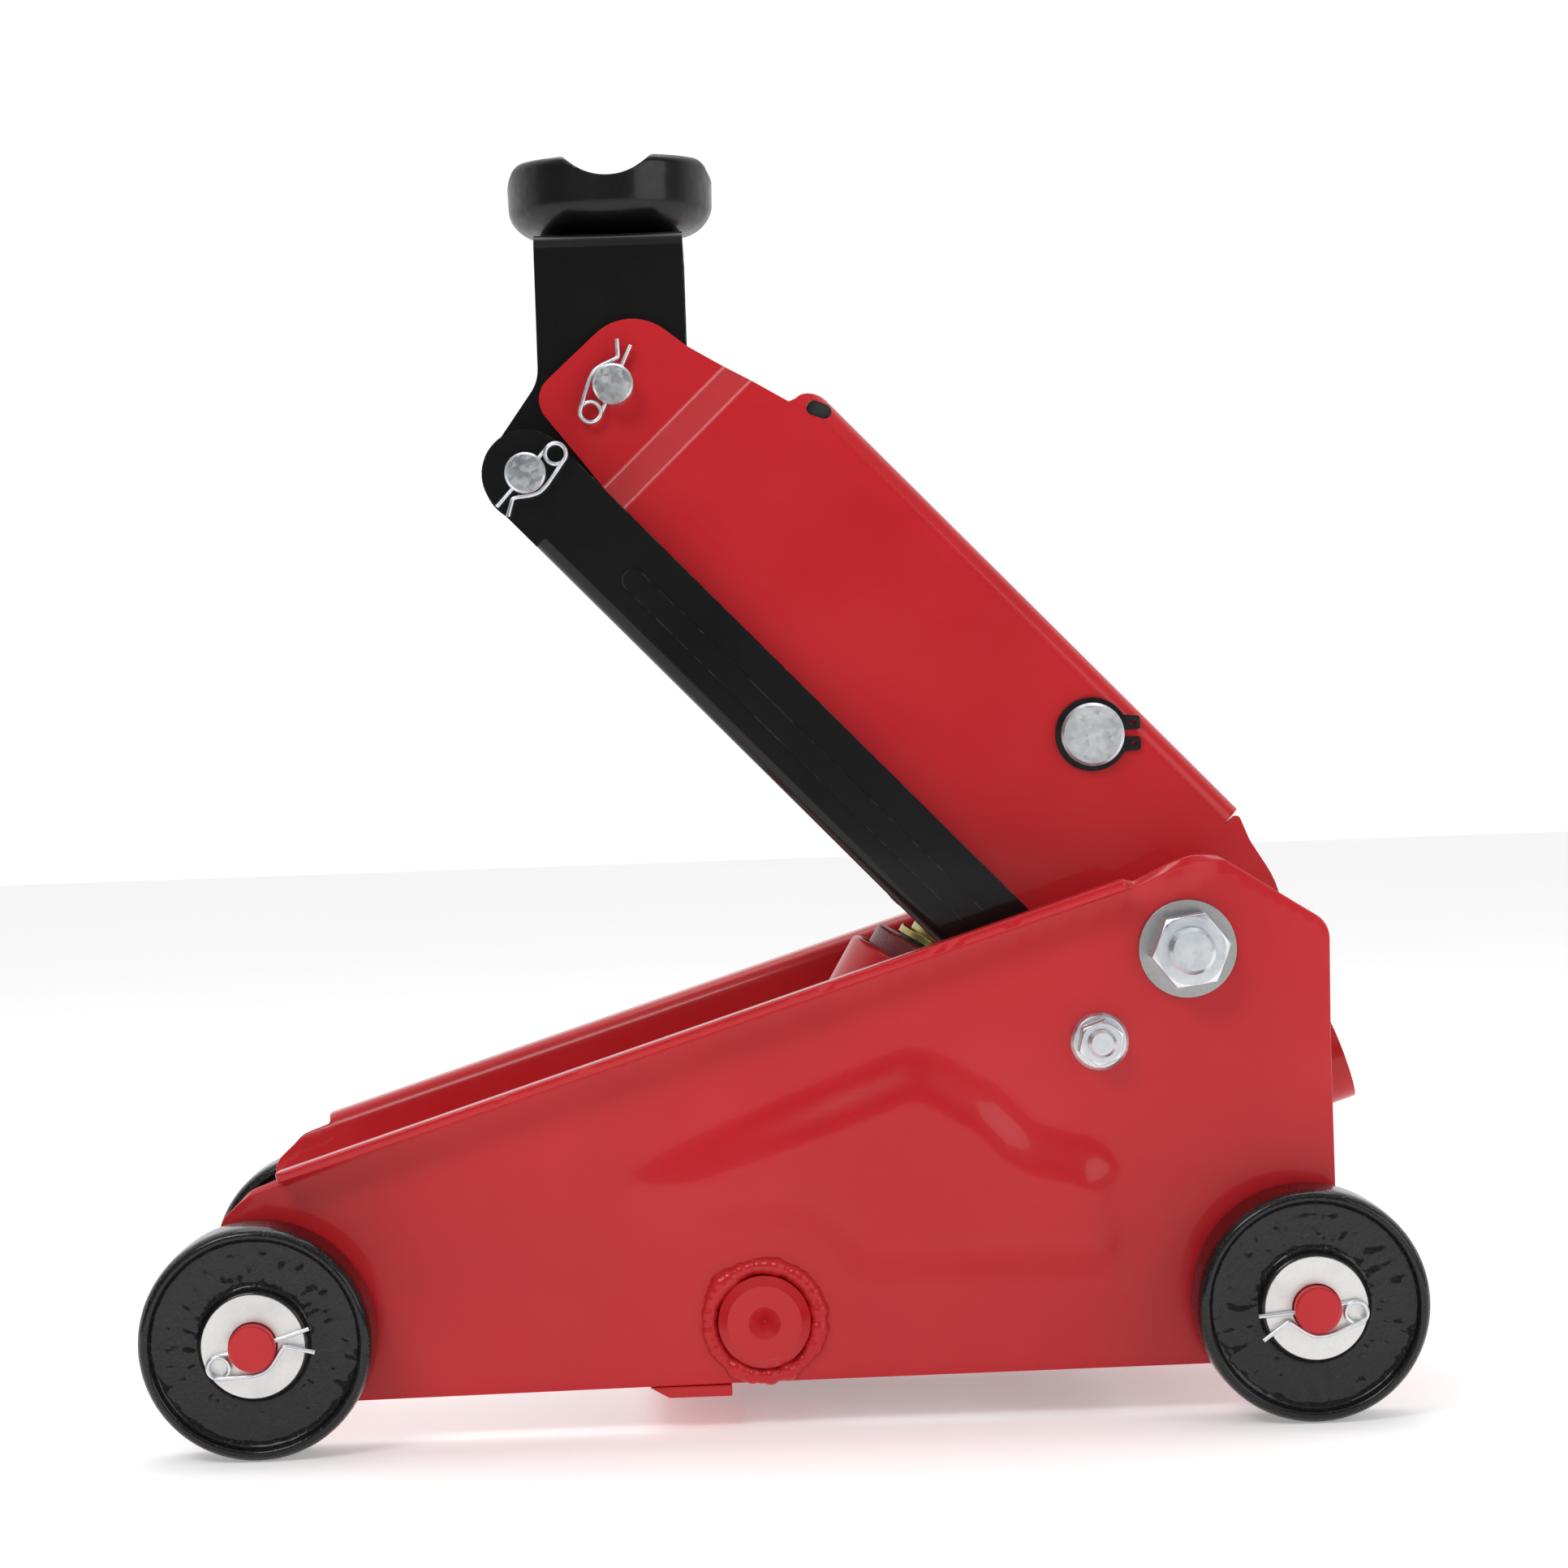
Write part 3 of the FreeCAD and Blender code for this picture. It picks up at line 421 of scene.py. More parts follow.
# the wear colours are lighter than the paint: rubbed corners and a painted edge highlight
redLook = {
    "colour": (0.56, 0.018, 0.024), "shade": (0.50, 0.013, 0.019), "driftScale": 9.0,
    "coat": 0.22, "coatRoughness": 0.05, "gloss": 0.22, "roughness": 0.30,
    "peelScale": 420.0, "peelDepth": 0.000018,
    "dust": 0.10, "dustScale": 16.0, "dustColour": (0.62, 0.12, 0.12),
    "wearAndHighlight": 0.55, "wearAndHighlightScale": 160.0, "wearAndHighlightColour": (0.72, 0.20, 0.18),
}
darkRedLook = {
    "colour": (0.20, 0.016, 0.022), "shade": (0.10, 0.008, 0.012),
    "coat": 0.3, "coatRoughness": 0.15, "gloss": 0.35, "roughness": 0.42,
    "grainScale": 420.0, "grainDepth": 0.00035,
    "dust": 0.22, "dustScale": 40.0, "dustColour": (0.42, 0.16, 0.16),
    "wearAndHighlight": 0.4, "wearAndHighlightScale": 200.0, "wearAndHighlightColour": (0.5, 0.25, 0.24),
}
blackLook = {
    "colour": (0.003, 0.003, 0.0033), "shade": (0.005, 0.005, 0.0054), "driftScale": 14.0,
    "coat": 0.3, "coatRoughness": 0.06, "gloss": 0.18, "roughness": 0.32,
    "peelScale": 380.0, "peelDepth": 0.000022,
    "dust": 0.06, "dustScale": 20.0, "dustColour": (0.10, 0.095, 0.09),
    "wearAndHighlight": 0.5, "wearAndHighlightScale": 170.0, "wearAndHighlightColour": (0.12, 0.12, 0.12),
}
castBlackLook = {
    "colour": (0.003, 0.003, 0.0033), "shade": (0.006, 0.006, 0.0065),
    "coat": 0.5, "coatRoughness": 0.05, "gloss": 0.2, "roughness": 0.26,
    "grainScale": 420.0, "grainDepth": 0.00055,
    "dust": 0.03, "dustScale": 26.0, "dustColour": (0.09, 0.09, 0.09),
    "wearAndHighlight": 0.35, "wearAndHighlightScale": 180.0, "wearAndHighlightColour": (0.10, 0.10, 0.10),
}
# the arm gets less of the lighter corner colour, rubbed paint and painted edge highlight
armLook = dict(redLook, wearAndHighlight=0.10)
cupLook = dict(castBlackLook, grainScale=160.0, grainDepth=0.00010, coat=0.35,
               coatRoughness=0.16, roughness=0.34)
zincLook = {
    "colour": (0.86, 0.88, 0.90), "shade": (0.62, 0.65, 0.68), "scale": 420.0,
    "tint": (0.50, 0.58, 0.66), "tintScale": 60.0, "tintAmount": 0.35, "rough": (0.24, 0.42),
}
washerLook = {
    "colour": (0.90, 0.89, 0.86), "shade": (0.74, 0.74, 0.73), "scale": 900.0,
    "tint": (0.56, 0.58, 0.60), "tintScale": 40.0, "tintAmount": 0.4, "rough": (0.34, 0.5),
}
yellowLook = {
    "colour": (0.42, 0.31, 0.07), "shade": (0.22, 0.15, 0.035), "scale": 240.0,
    "tint": (0.40, 0.44, 0.20), "tintScale": 70.0, "tintAmount": 0.7, "rough": (0.16, 0.34),
}
darkWasherLook = {
    "colour": (0.50, 0.50, 0.49), "shade": (0.36, 0.36, 0.36), "scale": 1100.0,
    "tint": (0.44, 0.45, 0.46), "tintScale": 40.0, "tintAmount": 0.4, "rough": (0.30, 0.44),
}
phosphateLook = {
    "colour": (0.030, 0.030, 0.032), "shade": (0.016, 0.016, 0.018), "scale": 700.0,
    "tint": (0.05, 0.05, 0.05), "tintScale": 90.0, "tintAmount": 0.5, "rough": (0.34, 0.5),
}


def sealRubber():
    f = Finish("wiperRubber", Metallic=0.0)
    film = f.group("dustFilm", Amount=0.3, Scale=60.0)
    f.feed("Base Color", f.mix(film.outputs["Mask"], (0.012, 0.012, 0.012), (0.06, 0.058, 0.055)))
    f.feed("Roughness", rangeNode(f.tree, f.noise(300.0), 0.3, 0.7, 0.5, 0.7))
    f.bump(f.group("orangePeel", Scale=900.0, Depth=0.00003).outputs["Height"])
    return f.material


redPaint = enamel("redEnamel", redLook)
armPaint = enamel("armEnamel", armLook)
blackPaint = enamel("blackEnamel", blackLook)
darkRedCast = castEnamel("darkRedCasting", darkRedLook)
blackCast = castEnamel("blackCasting", castBlackLook)
cupBlack = castEnamel("saddleBlack", cupLook)
zinc = plated("brightZinc", zincLook)
washerZinc = plated("washerZinc", washerLook)
darkWasherZinc = plated("pivotWasherZinc", darkWasherLook)
yellowZinc = plated("yellowZinc", yellowLook)
phosphate = plated("blackPhosphate", phosphateLook)
finishOf = {
    "red_paint": redPaint, "dark_red_casting": darkRedCast, "black_paint": blackPaint,
    "black_casting": blackCast, "zinc": zinc, "yellow_zinc": yellowZinc, "black_steel": phosphate,
    "seal": sealRubber(),
}
print("finishes ready")


# geometry node trees

def nodeTree(name, inputs):
    # a tree that takes and gives geometry, with named inputs for its sizes and material
    inputs = [("Geometry", "Geometry", None)] + inputs + [("Material", "Material", None)]
    return nodeGroup(name, "GeometryNodeTree", inputs, [("Geometry", "Geometry")])


def finishTree(tree, given, out, geometry):
    # every tree ends in real geometry with its material set
    smooth = addNode(tree, "GeometryNodeSetShadeSmooth", Geometry=geometry)
    real = addNode(tree, "GeometryNodeRealizeInstances", Geometry=smooth.outputs[0])
    paint = addNode(tree, "GeometryNodeSetMaterial", Geometry=real.outputs[0],
                    Material=given.outputs["Material"])
    tree.links.new(paint.outputs[0], out.inputs[0])
    return tree


def sweptWire(tree, given, out, curve):
    ring = addNode(tree, "GeometryNodeCurvePrimitiveCircle", Resolution=12,
                   Radius=given.outputs["Wire Radius"])
    sweep = addNode(tree, "GeometryNodeCurveToMesh", Fill_Caps=True, Curve=curve,
                    Profile_Curve=ring.outputs[0])
    return finishTree(tree, given, out, sweep.outputs[0])


def makeBentWire():
    # a round wire along the curve object that carries the modifier
    tree, given, out = nodeTree("bentWire", [
        ("Wire Radius", "Float", 0.001), ("Step", "Float", 0.0006)])
    even = addNode(tree, "GeometryNodeResampleCurve", "LENGTH", Curve=given.outputs["Geometry"],
                   Length=given.outputs["Step"])
    return sweptWire(tree, given, out, even.outputs[0])


def makeCoil():
    # a helix from z = 0 up to Length
    tree, given, out = nodeTree("coil", [
        ("Coil Radius", "Float", 0.007), ("Length", "Float", 0.1), ("Turns", "Float", 20.0),
        ("Wire Radius", "Float", 0.001), ("Turn Steps", "Int", 24)])
    spiral = addNode(
        tree, "GeometryNodeCurveSpiral", Resolution=given.outputs["Turn Steps"],
        Rotations=given.outputs["Turns"], Start_Radius=given.outputs["Coil Radius"],
        End_Radius=given.outputs["Coil Radius"], Height=given.outputs["Length"])
    return sweptWire(tree, given, out, spiral.outputs[0])


def makeWeldBeads():
    # overlapping weld scales laid round a ring in the plane z = 0
    tree, given, out = nodeTree("weldScales", [
        ("Ring Radius", "Float", 0.0246), ("Scale Radius", "Float", 0.0046),
        ("Count", "Int", 46), ("Unevenness", "Float", 0.16), ("Seed", "Int", 3)])
    ring = addNode(tree, "GeometryNodeCurvePrimitiveCircle", Resolution=128,
                   Radius=given.outputs["Ring Radius"])
    points = addNode(tree, "GeometryNodeCurveToPoints", "COUNT", Curve=ring.outputs[0],
                     Count=given.outputs["Count"])
    bead = addNode(tree, "GeometryNodeMeshIcoSphere", Subdivisions=3,
                   Radius=given.outputs["Scale Radius"])
    size = addNode(tree, "FunctionNodeRandomValue", Seed=given.outputs["Seed"])
    size.data_type = "FLOAT"
    for operation, index in (("SUBTRACT", 2), ("ADD", 3)):
        limit = mathNode(tree, operation, 1.0, given.outputs["Unevenness"])
        tree.links.new(limit, size.inputs[index])
    lay = addNode(tree, "GeometryNodeInstanceOnPoints", Points=points.outputs["Points"],
                  Instance=bead.outputs["Mesh"], Scale=size.outputs[1])
    return finishTree(tree, given, out, lay.outputs[0])


trees = {"bentWire": makeBentWire(), "coil": makeCoil(), "weldScales": makeWeldBeads()}


def grown(name, tree, source, **values):
    # runs a tree on source and returns the plain mesh it makes
    modifier = source.modifiers.new(tree, "NODES")
    modifier.node_group = trees[tree]
    wanted = {label.replace("_", " "): value for label, value in values.items()}
    for item in trees[tree].interface.items_tree:
        if item.item_type == "SOCKET" and item.in_out == "INPUT" and item.name in wanted:
            modifier[item.identifier] = wanted[item.name]
    return applied(source, name)


def emptySource():
    return newObject("source", bpy.data.meshes.new("source"))


def curveSource(points):
    # a smooth curve from the first point to the last
    curve = bpy.data.curves.new("source", "CURVE")
    curve.dimensions = "3D"
    curve.resolution_u = 12
    spline = curve.splines.new("NURBS")
    spline.points.add(len(points) - 1)
    for target, point in zip(spline.points, points):
        target.co = (*point, 1)
    spline.order_u = 3
    spline.use_endpoint_u = True
    return newObject("source", curve)


def joined(name, pieces):
    # several plain meshes as one
    bm = bmesh.new()
    for piece in pieces:
        bm.from_mesh(piece.data)
        bpy.data.objects.remove(piece)
    return objectOf(name, bm)


def placed(piece, matrix):
    piece.data.transform(matrix)
    return piece


def turnTo(direction):
    # turns local +Z onto a direction
    return Vector(direction).to_track_quat("Z", "Y").to_matrix().to_4x4()


print("geometry trees ready")


# sheet metal with real thickness and rounded edges

def nearestOn(path, point):
    # distance from a point to a closed 2D path, negative outside it
    best = 1e9
    inside = False
    x, z = point
    for i in range(len(path)):
        ax, az = path[i - 1]
        bx, bz = path[i]
        dx, dz = bx - ax, bz - az
        t = min(max(((x - ax) * dx + (z - az) * dz) / (dx * dx + dz * dz), 0), 1)
        best = min(best, math.hypot(x - ax - t * dx, z - az - t * dz))
        if (az > z) != (bz > z) and x < ax + (z - az) * dx / dz:
            inside = not inside
    return best if inside else -best


def spacedPath(path, step):
    # the same closed path with long runs divided
    points = []
    for i in range(len(path)):
        a, b = Vector(path[i - 1]), Vector(path[i])
        parts = max(1, round((b - a).length / step))
        points += [tuple(a.lerp(b, k / parts)) for k in range(parts)]
    return points


def offsetPath(path, distance):
    # a spaced path moved to its right-hand side
    moved = []
    for i in range(len(path)):
        near = (path[i - 1], path[i], path[(i + 1) % len(path)])
        before, here, after = (Vector(point) for point in near)
        along = ((here - before).normalized() + (after - here).normalized()).normalized()
        moved.append(tuple(here + Vector((along.y, -along.x)) * distance))
    return moved


def circlePath(x, z, radius, steps=40):
    # runs anticlockwise, so that its right-hand side lies outside the hole
    turns = [2 * math.pi * k / steps for k in range(steps)]
    return [(x + radius * math.cos(t), z + radius * math.sin(t)) for t in turns]


def sheet(name, border, holes, look, surface, foldRows, inFold):
    # border runs clockwise; surface(x, z) gives a point on the middle of the sheet and its
    # outward normal; foldRows are the points that take the lattice's place where inFold(x, z)
    edge = look["edgeRound"]
    depths = [edge * share for share in (0, 0.12, 0.45, 1)]
    drops = [edge - math.sqrt(edge ** 2 - (edge - depth) ** 2) for depth in depths]
    coords, constraints, drop, loops = [], [], [], []
    for path in [border] + holes:
        count = len(path)
        for depth, fall in zip(depths, drops):
            ring = offsetPath(path, depth) if depth else path
            first = len(coords)
            coords += [Vector(point) for point in ring]
            drop += [fall] * count
            constraints += [(first + k, first + (k + 1) % count) for k in range(count)]
            if not depth:
                loops.append(range(first, first + count))
    xs, zs = [p[0] for p in border], [p[1] for p in border]
    step = look["pitch"]
    margin = edge + step * 0.45

    def clear(x, z):
        inside = nearestOn(border, (x, z)) > margin
        return inside and all(-nearestOn(hole, (x, z)) > margin for hole in holes)

    inner = []
    row = 0
    z = min(zs)
    while z < max(zs):
        x = min(xs) + (step / 2 if row % 2 else 0)
        while x < max(xs):
            if not inFold(x, z) and clear(x, z):
                inner.append((x, z))
            x += step
        z += step * 0.87
        row += 1
    inner += [point for point in foldRows if nearestOn(border, point) > edge + 0.8]
    coords += [Vector(point) for point in inner]
    drop += [0] * len(inner)
    flat, _, faces, sources, _, _ = geometry.delaunay_2d_cdt(coords, constraints, [], 0, 1e-7)
    falls = [drop[source[0]] if source else 0 for source in sources]
    place = {source: index for index, group in enumerate(sources) for source in group}
    half = look["thick"] / 2
    kept = []
    for face in faces:
        middle = sum((flat[i] for i in face), Vector((0, 0))) / len(face)
        if nearestOn(border, middle) > 0 and all(nearestOn(hole, middle) < 0 for hole in holes):
            kept.append(face)

    def build(bm):
        sides = []
        for sign in (1, -1):
            row = []
            for point, fall in zip(flat, falls):
                at, normal = surface(*point)
                row.append(bm.verts.new((at + normal * sign * (half - fall)) * mm))
            sides.append(row)
        for face in kept:
            bm.faces.new([sides[0][i] for i in face])
            bm.faces.new([sides[1][i] for i in reversed(face)])
        for loop in loops:
            for k in range(len(loop)):
                i, j = place[loop[k]], place[loop[(k + 1) % len(loop)]]
                bm.faces.new((sides[0][i], sides[1][i], sides[1][j], sides[0][j]))
        loose = [v for v in bm.verts if not v.link_faces]
        bmesh.ops.delete(bm, geom=loose, context="VERTS")

    return smoothed(meshFrom(name, build))


sidePlateLook = {
    "thick": 4.5, "outerFace": 120.0, "edgeRound": 0.9, "pitch": 4.2,
    "bendRadius": 8.0, "flangeReach": 16.0, "foldRows": 6, "foldStep": 2.2, "foldMargin": 2.5,
    "panelDepth": 5.2, "panelSlope": 19.0, "panelFadeFrom": -95.0, "panelFadeTo": 35.0,
    "ripple": 0.10, "rippleScale": 55, "pivotHole": 10.05, "linkHole": 6.05,
    "trunnionHole": 20.05, "axleHole": 10.05,
}


def sidePlate():
    # flat blank with its top flange still unfolded, then folded, pressed and given thickness
    look = sidePlateLook
    middleY = look["thick"] / 2 - look["outerFace"]
    foldStart, foldEnd = Vector((-216.9, 119.6)), Vector((153.0, 233.8))
    along = (foldEnd - foldStart).normalized()
    up = Vector((-along.y, along.x))
    bend = look["bendRadius"] - look["thick"] / 2
    arc = bend * math.pi / 2
    flat = look["flangeReach"] + look["thick"] - look["bendRadius"]
    tab = arc + flat - look["bendRadius"]
    tip = [tuple(foldStart + up * tab), tuple(foldEnd + up * tab)]
    root = [tuple(foldStart - up * 4.5), tuple(foldEnd - up * 1.5)]
    border = roundedPath([
        (-243, 98, 12), (-229, 110.5, 14), (*root[0], 1.5), (*tip[0], 2.5), (*tip[1], 2.5),
        (*root[1], 1.5), (158, 231.2, 2), (180, 242.5, 16), (196, 241, 14), (229, 219.5, 10),
        (242.3, 211, 12), (241.3, 160), (241.3, 22, 22), (180, 21), (-23, 20), (-246, 17.6, 28)])
    border = spacedPath([tuple(point) for point in border], look["pitch"])
    panel = roundedPath([
        (-90, 108, 10), (62, 163, 26), (96, 143, 18), (112, 126, 20), (147, 117, 22),
        (155, 58, 18), (32, 60, 22), (6, 86, 26), (-34, 82, 26)])
    panel = [tuple(point) for point in panel]
    drilled = [
        (armPivot, "pivotHole"), (linkPivot, "linkHole"), (trunnion, "trunnionHole"),
        (pivot("wheel_front_left_roll"), "axleHole"), (pivot("wheel_rear_left_roll"), "axleHole")]
    holes = [circlePath(at.x / mm, at.z / mm, look[size]) for at, size in drilled]

    def surface(x, z):
        rise = (Vector((x, z)) - foldStart).dot(up)
        past = rise + look["bendRadius"]
        if past <= 0:
            inPanel = smoothStep(nearestOn(panel, (x, z)), -1.0, look["panelSlope"])
            depth = look["panelDepth"] * inPanel
            depth *= smoothStep(x, look["panelFadeFrom"], look["panelFadeTo"])
            ripple = noise.noise(Vector((x, z, 3)) / look["rippleScale"]) * look["ripple"]
            ripple *= smoothStep(-past, 2, 30)
            return Vector((x, middleY - depth + min(ripple, 0), z)), Vector((0, -1, 0))
        base = Vector((x, z)) - up * rise
        angle = min(past / bend, math.pi / 2)
        reach = max(past - arc, 0)
        lift = -look["bendRadius"] + bend * math.sin(angle)
        foldY = look["outerFace"] - look["thick"] + look["bendRadius"]
        y = bend * math.cos(angle) - foldY - reach
        at = base + up * lift
        turned = -up * math.sin(angle)
        return Vector((at.x, y, at.y)), Vector((turned.x, -math.cos(angle), turned.y))

    def inFold(x, z):
        past = (Vector((x, z)) - foldStart).dot(up) + look["bendRadius"]
        return -look["foldMargin"] < past < arc + look["foldMargin"]

    foldRows = []
    for row in range(look["foldRows"] + 1):
        rise = arc * row / look["foldRows"] - look["bendRadius"]
        at = look["foldStep"] * (row % 2) / 2
        while at < (foldEnd - foldStart).length:
            foldRows.append(tuple(foldStart + along * at + up * rise))
            at += look["foldStep"]
    return sheet("sidePlate", border, holes, look, surface, foldRows, inFold)


leftPlate = sidePlate()
rightPlate = mirroredCopy(leftPlate, "sidePlateFar")
settle(leftPlate, "side_plate_left", redPaint)
settle(rightPlate, "side_plate_right", redPaint)
print("side plates ready")


# solids of the frame given worn, rounded edges

edgeLook = {"mergeWithin": 2e-6, "flatWithin": 0.4, "sharpFrom": 40, "segments": 2}


def refined(node, width, material):
    # a copy of the solid with its tessellation cleaned and its hard edges rounded
    look = edgeLook
    source = bpy.data.objects[node]
    bm = bmesh.new()
    bm.from_mesh(source.data)
    bm.transform(source.matrix_world)
    bmesh.ops.remove_doubles(bm, verts=bm.verts, dist=look["mergeWithin"])
    bmesh.ops.dissolve_limit(bm, angle_limit=math.radians(look["flatWithin"]),
                             verts=bm.verts, edges=bm.edges)
    piece = smoothed(objectOf(node + "Worn", bm))
    rounding = piece.modifiers.new("edges", "BEVEL")
    rounding.width = width * mm
    rounding.segments = look["segments"]
    rounding.limit_method = "ANGLE"
    rounding.angle_limit = math.radians(look["sharpFrom"])
    rounding.use_clamp_overlap = True
    even = piece.modifiers.new("normals", "WEIGHTED_NORMAL")
    even.keep_sharp = False
    settle(applied(piece, node + "Worn"), node, material)


edgeRounds = {
    "lift_arm": 0.9, "saddle_bracket": 0.9, "bottom_tie_plate": 0.7, "rear_tie_plate": 0.7,
    "link_rod_left": 0.7, "link_rod_right": 0.7, "power_unit_base": 1.2, "handle_socket": 0.8,
    "pivot_nuts": 0.35, "link_nuts": 0.3, "pivot_washers": 0.3, "push_circlips": 0.25,
    "front_axle_washers": 0.35, "rear_axle_washers": 0.35, "cylinder_cap": 1.0,
    "reservoir_tube": 0.5,
}
ownFinish = {
    "lift_arm": armPaint, "pivot_washers": darkWasherZinc,
    "front_axle_washers": washerZinc, "rear_axle_washers": washerZinc,
}
for node, width in edgeRounds.items():
    refined(node, width, ownFinish.get(node, finishOf[slotOf[node]]))
print("worn edges ready")


# cast wheels

wheelLook = {
    "steps": 200, "bore": 10.15, "webSink": 4, "faceDepth": 4.6, "longRun": 2.6, "shortRun": 2.2,
    "webGrain": 0.55, "rimGrain": 0.12, "fineScale": 0.33, "coarseScale": 0.12, "grainScale": 1.5,
}


def wheel(node):
    # lathe work with a rough web between a smooth hub and rim, on both faces
    axle = pivot(node + "_roll") / mm
    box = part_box(node)
    middle = (box[0][1] + box[1][1]) / 2 / mm
    half = (box[1][1] - box[0][1]) / 2 / mm
    look = wheelLook
    bore, web = look["bore"], half - look["webSink"]
    face = [(bore, half - 0.7), (bore + 0.8, half), (21.6, half), (22.6, half - 0.3),
            (23.1, half - 1.0), (24.0, half - 3.3), (25.2, web), (29, web), (33, web), (37, web),
            (41, web), (43.2, half - 3.8), (44.2, half - 3.0), (44.7, half - 1.2),
            (45.2, half - 0.3), (46.0, half), (47.0, half), (48.1, half - 0.7),
            (49.2, half - 2.2), (49.75, half - 4.7), (49.93, half - 9), (50, half - 14)]
    section = face + [(50.0, 0)] + [(r, -w) for r, w in reversed(face)]
    dense = []
    for before, point in zip(section[:1] + section, section):
        run = (Vector(point) - Vector(before)).length
        if run > look["longRun"]:
            parts = math.ceil(run / look["shortRun"])
            dense += [tuple(Vector(before).lerp(Vector(point), j / parts)) for j in range(1, parts)]
        dense.append(point)
    seed = sum(ord(letter) for letter in node)

    def build(bm):
        rings = []
        for step in range(look["steps"]):
            angle = 2 * math.pi * step / look["steps"]
            ring = []
            for radius, across in dense:
                spot = Vector((radius * math.cos(angle), across, radius * math.sin(angle)))
                fineAt = (spot + Vector((seed, 0, 0))) * look["grainScale"] * look["fineScale"]
                coarseAt = (spot + Vector((0, seed, 0))) * look["grainScale"] * look["coarseScale"]
                inWeb = smoothStep(radius, 24, 26) * (1 - smoothStep(radius, 42.5, 44.5))
                amount = look["rimGrain"] + (look["webGrain"] - look["rimGrain"]) * inWeb
                drop = (noise.noise(fineAt) * 0.6 + noise.noise(coarseAt) * 0.8) * amount
                side = 1 if across > 0 else -1
                if abs(across) > half - look["faceDepth"]:
                    across += side * min(drop, 0 if inWeb < 0.5 else 1)
                else:
                    radius += min(drop, 0)
                ring.append(bm.verts.new((
                    (axle.x + radius * math.cos(angle)) * mm, (middle + across) * mm,
                    (axle.z + radius * math.sin(angle)) * mm)))
            rings.append(ring)
        bridgeRings(bm, rings)

    settle(smoothed(meshFrom(node + "Cast", build)), node, blackCast)


for end in ("front", "rear"):
    for side in ("left", "right"):
        wheel("wheel_" + end + "_" + side)
print("wheels ready")


# saddle cup

cupShape = {
    "steps": 240, "stride": 1.7, "rimRadius": 47.1, "boltRadius": 9, "floorHeight": 11,
    "dipRadius": 25.0, "dipDepth": 9.6, "softness": 1.6, "unevenness": 0.28, "lumpSize": 9,
}


def softLower(a, b, width):
    # the lower of two heights, blended where they meet
    t = min(max(0.5 + 0.5 * (b - a) / width, 0), 1)
    return b + (a - b) * t - width * t * (1 - t)


def saddleCup():
    # lathe work with two crossed round channels dipped into its rim
    look = cupShape
    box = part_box("saddle_cup")
    centre = Vector(((box[0][0] + box[1][0]) / 2, 0)) / mm
    bottom, top = box[0][2] / mm, box[1][2] / mm
    outline = roundedPath([
        (8.2, bottom), (22, bottom, 3), (41, bottom + 4.6, 15), (46.6, bottom + 13, 12),
        (47.0, top, 4.2), (36.4, top, 4.0), (33, bottom + 14.4, 7), (16, bottom + 10.4, 4),
        (8.2, bottom + 10.4)], 8)
    section = spacedPath([tuple(point) for point in outline], look["stride"])

    def build(bm):
        rings = []
        for step in range(look["steps"]):
            angle = 2 * math.pi * step / look["steps"]
            x, y = math.cos(angle), math.sin(angle)
            ring = []
            for radius, height in section:
                dipped = height
                for across in (radius * x, radius * y):
                    if abs(across) < look["dipRadius"] - 0.5:
                        floor = top - look["dipDepth"] + look["dipRadius"]
                        floor -= math.sqrt(look["dipRadius"] ** 2 - across ** 2)
                        floor = max(floor, bottom + look["floorHeight"])
                        dipped = softLower(dipped, floor, look["softness"])
                dipped = min(dipped, height)
                spot = Vector((radius * x, radius * y, height))
                bump = noise.noise(spot / look["lumpSize"]) * look["unevenness"]
                lumpy = min(radius + min(bump, 0), look["rimRadius"])
                out = lumpy if radius > look["boltRadius"] else radius
                place = Vector((centre.x + out * x, centre.y + out * y, dipped))
                ring.append(bm.verts.new(place * mm))
            rings.append(ring)
        bridgeRings(bm, rings)

    settle(smoothed(meshFrom("saddleCupCast", build)), "saddle_cup", cupBlack)


saddleCup()
print("saddle cup ready")


# spring clips of bent wire

clipLook = {"wire": 1.0, "gap": 0.35, "coil": 4.6, "lift": 0.7, "turns": 1.5, "turnSteps": 26,
            "step": 0.45}


def springClip(name, at, y, radius, lean, side, reach):
    # straight leg through the pin, one and a half turns of coil, then the waisted leg
    look = clipLook
    coil, lift = look["coil"], look["lift"]
    near = radius + look["wire"] + look["gap"]
    points = [Vector((reach, lift, -(reach - radius - 10) * 0.3)), Vector((radius, lift, 0)),
              Vector((-radius, lift, 0))]
    turns = look["turns"]
    count = int(look["turnSteps"] * turns)
    for k in range(count + 1):
        angle = -math.pi / 2 - 2 * math.pi * turns * k / count
        rise = lift - 2 * lift * k / count
        across = -radius - 6 + coil * math.cos(angle)
        points.append(Vector((across, rise, coil + coil * math.sin(angle))))
    waist = [(-0.5 * radius, near), (-0.1 * radius, near + 0.25), (0.45 * radius, near - 0.4),
             (radius + 2.6, 2.9), (radius + 4.0, 3.2), (reach, 3.2 + (reach - radius - 4) * 0.5)]
    points += [Vector((x, -lift, z)) for x, z in waist]
    turn = Matrix.Rotation(-math.radians(lean), 4, "Y")
    spot = Vector((at.x, y * mm, at.z))
    path = [spot + turn @ (Vector((p.x, p.y, side * p.z)) * mm) for p in points]
    return grown(name, "bentWire", curveSource(path), Wire_Radius=look["wire"] * mm,
                 Step=look["step"] * mm, Material=zinc)


def clipPair(node, at, y, radius, lean, side, reach):
    near = springClip(node + "Wire", at, -y, radius, lean, side, reach)
    far = mirroredCopy(near, node + "Far")
    settle(joined(node + "Bent", [near, far]), node, zinc)


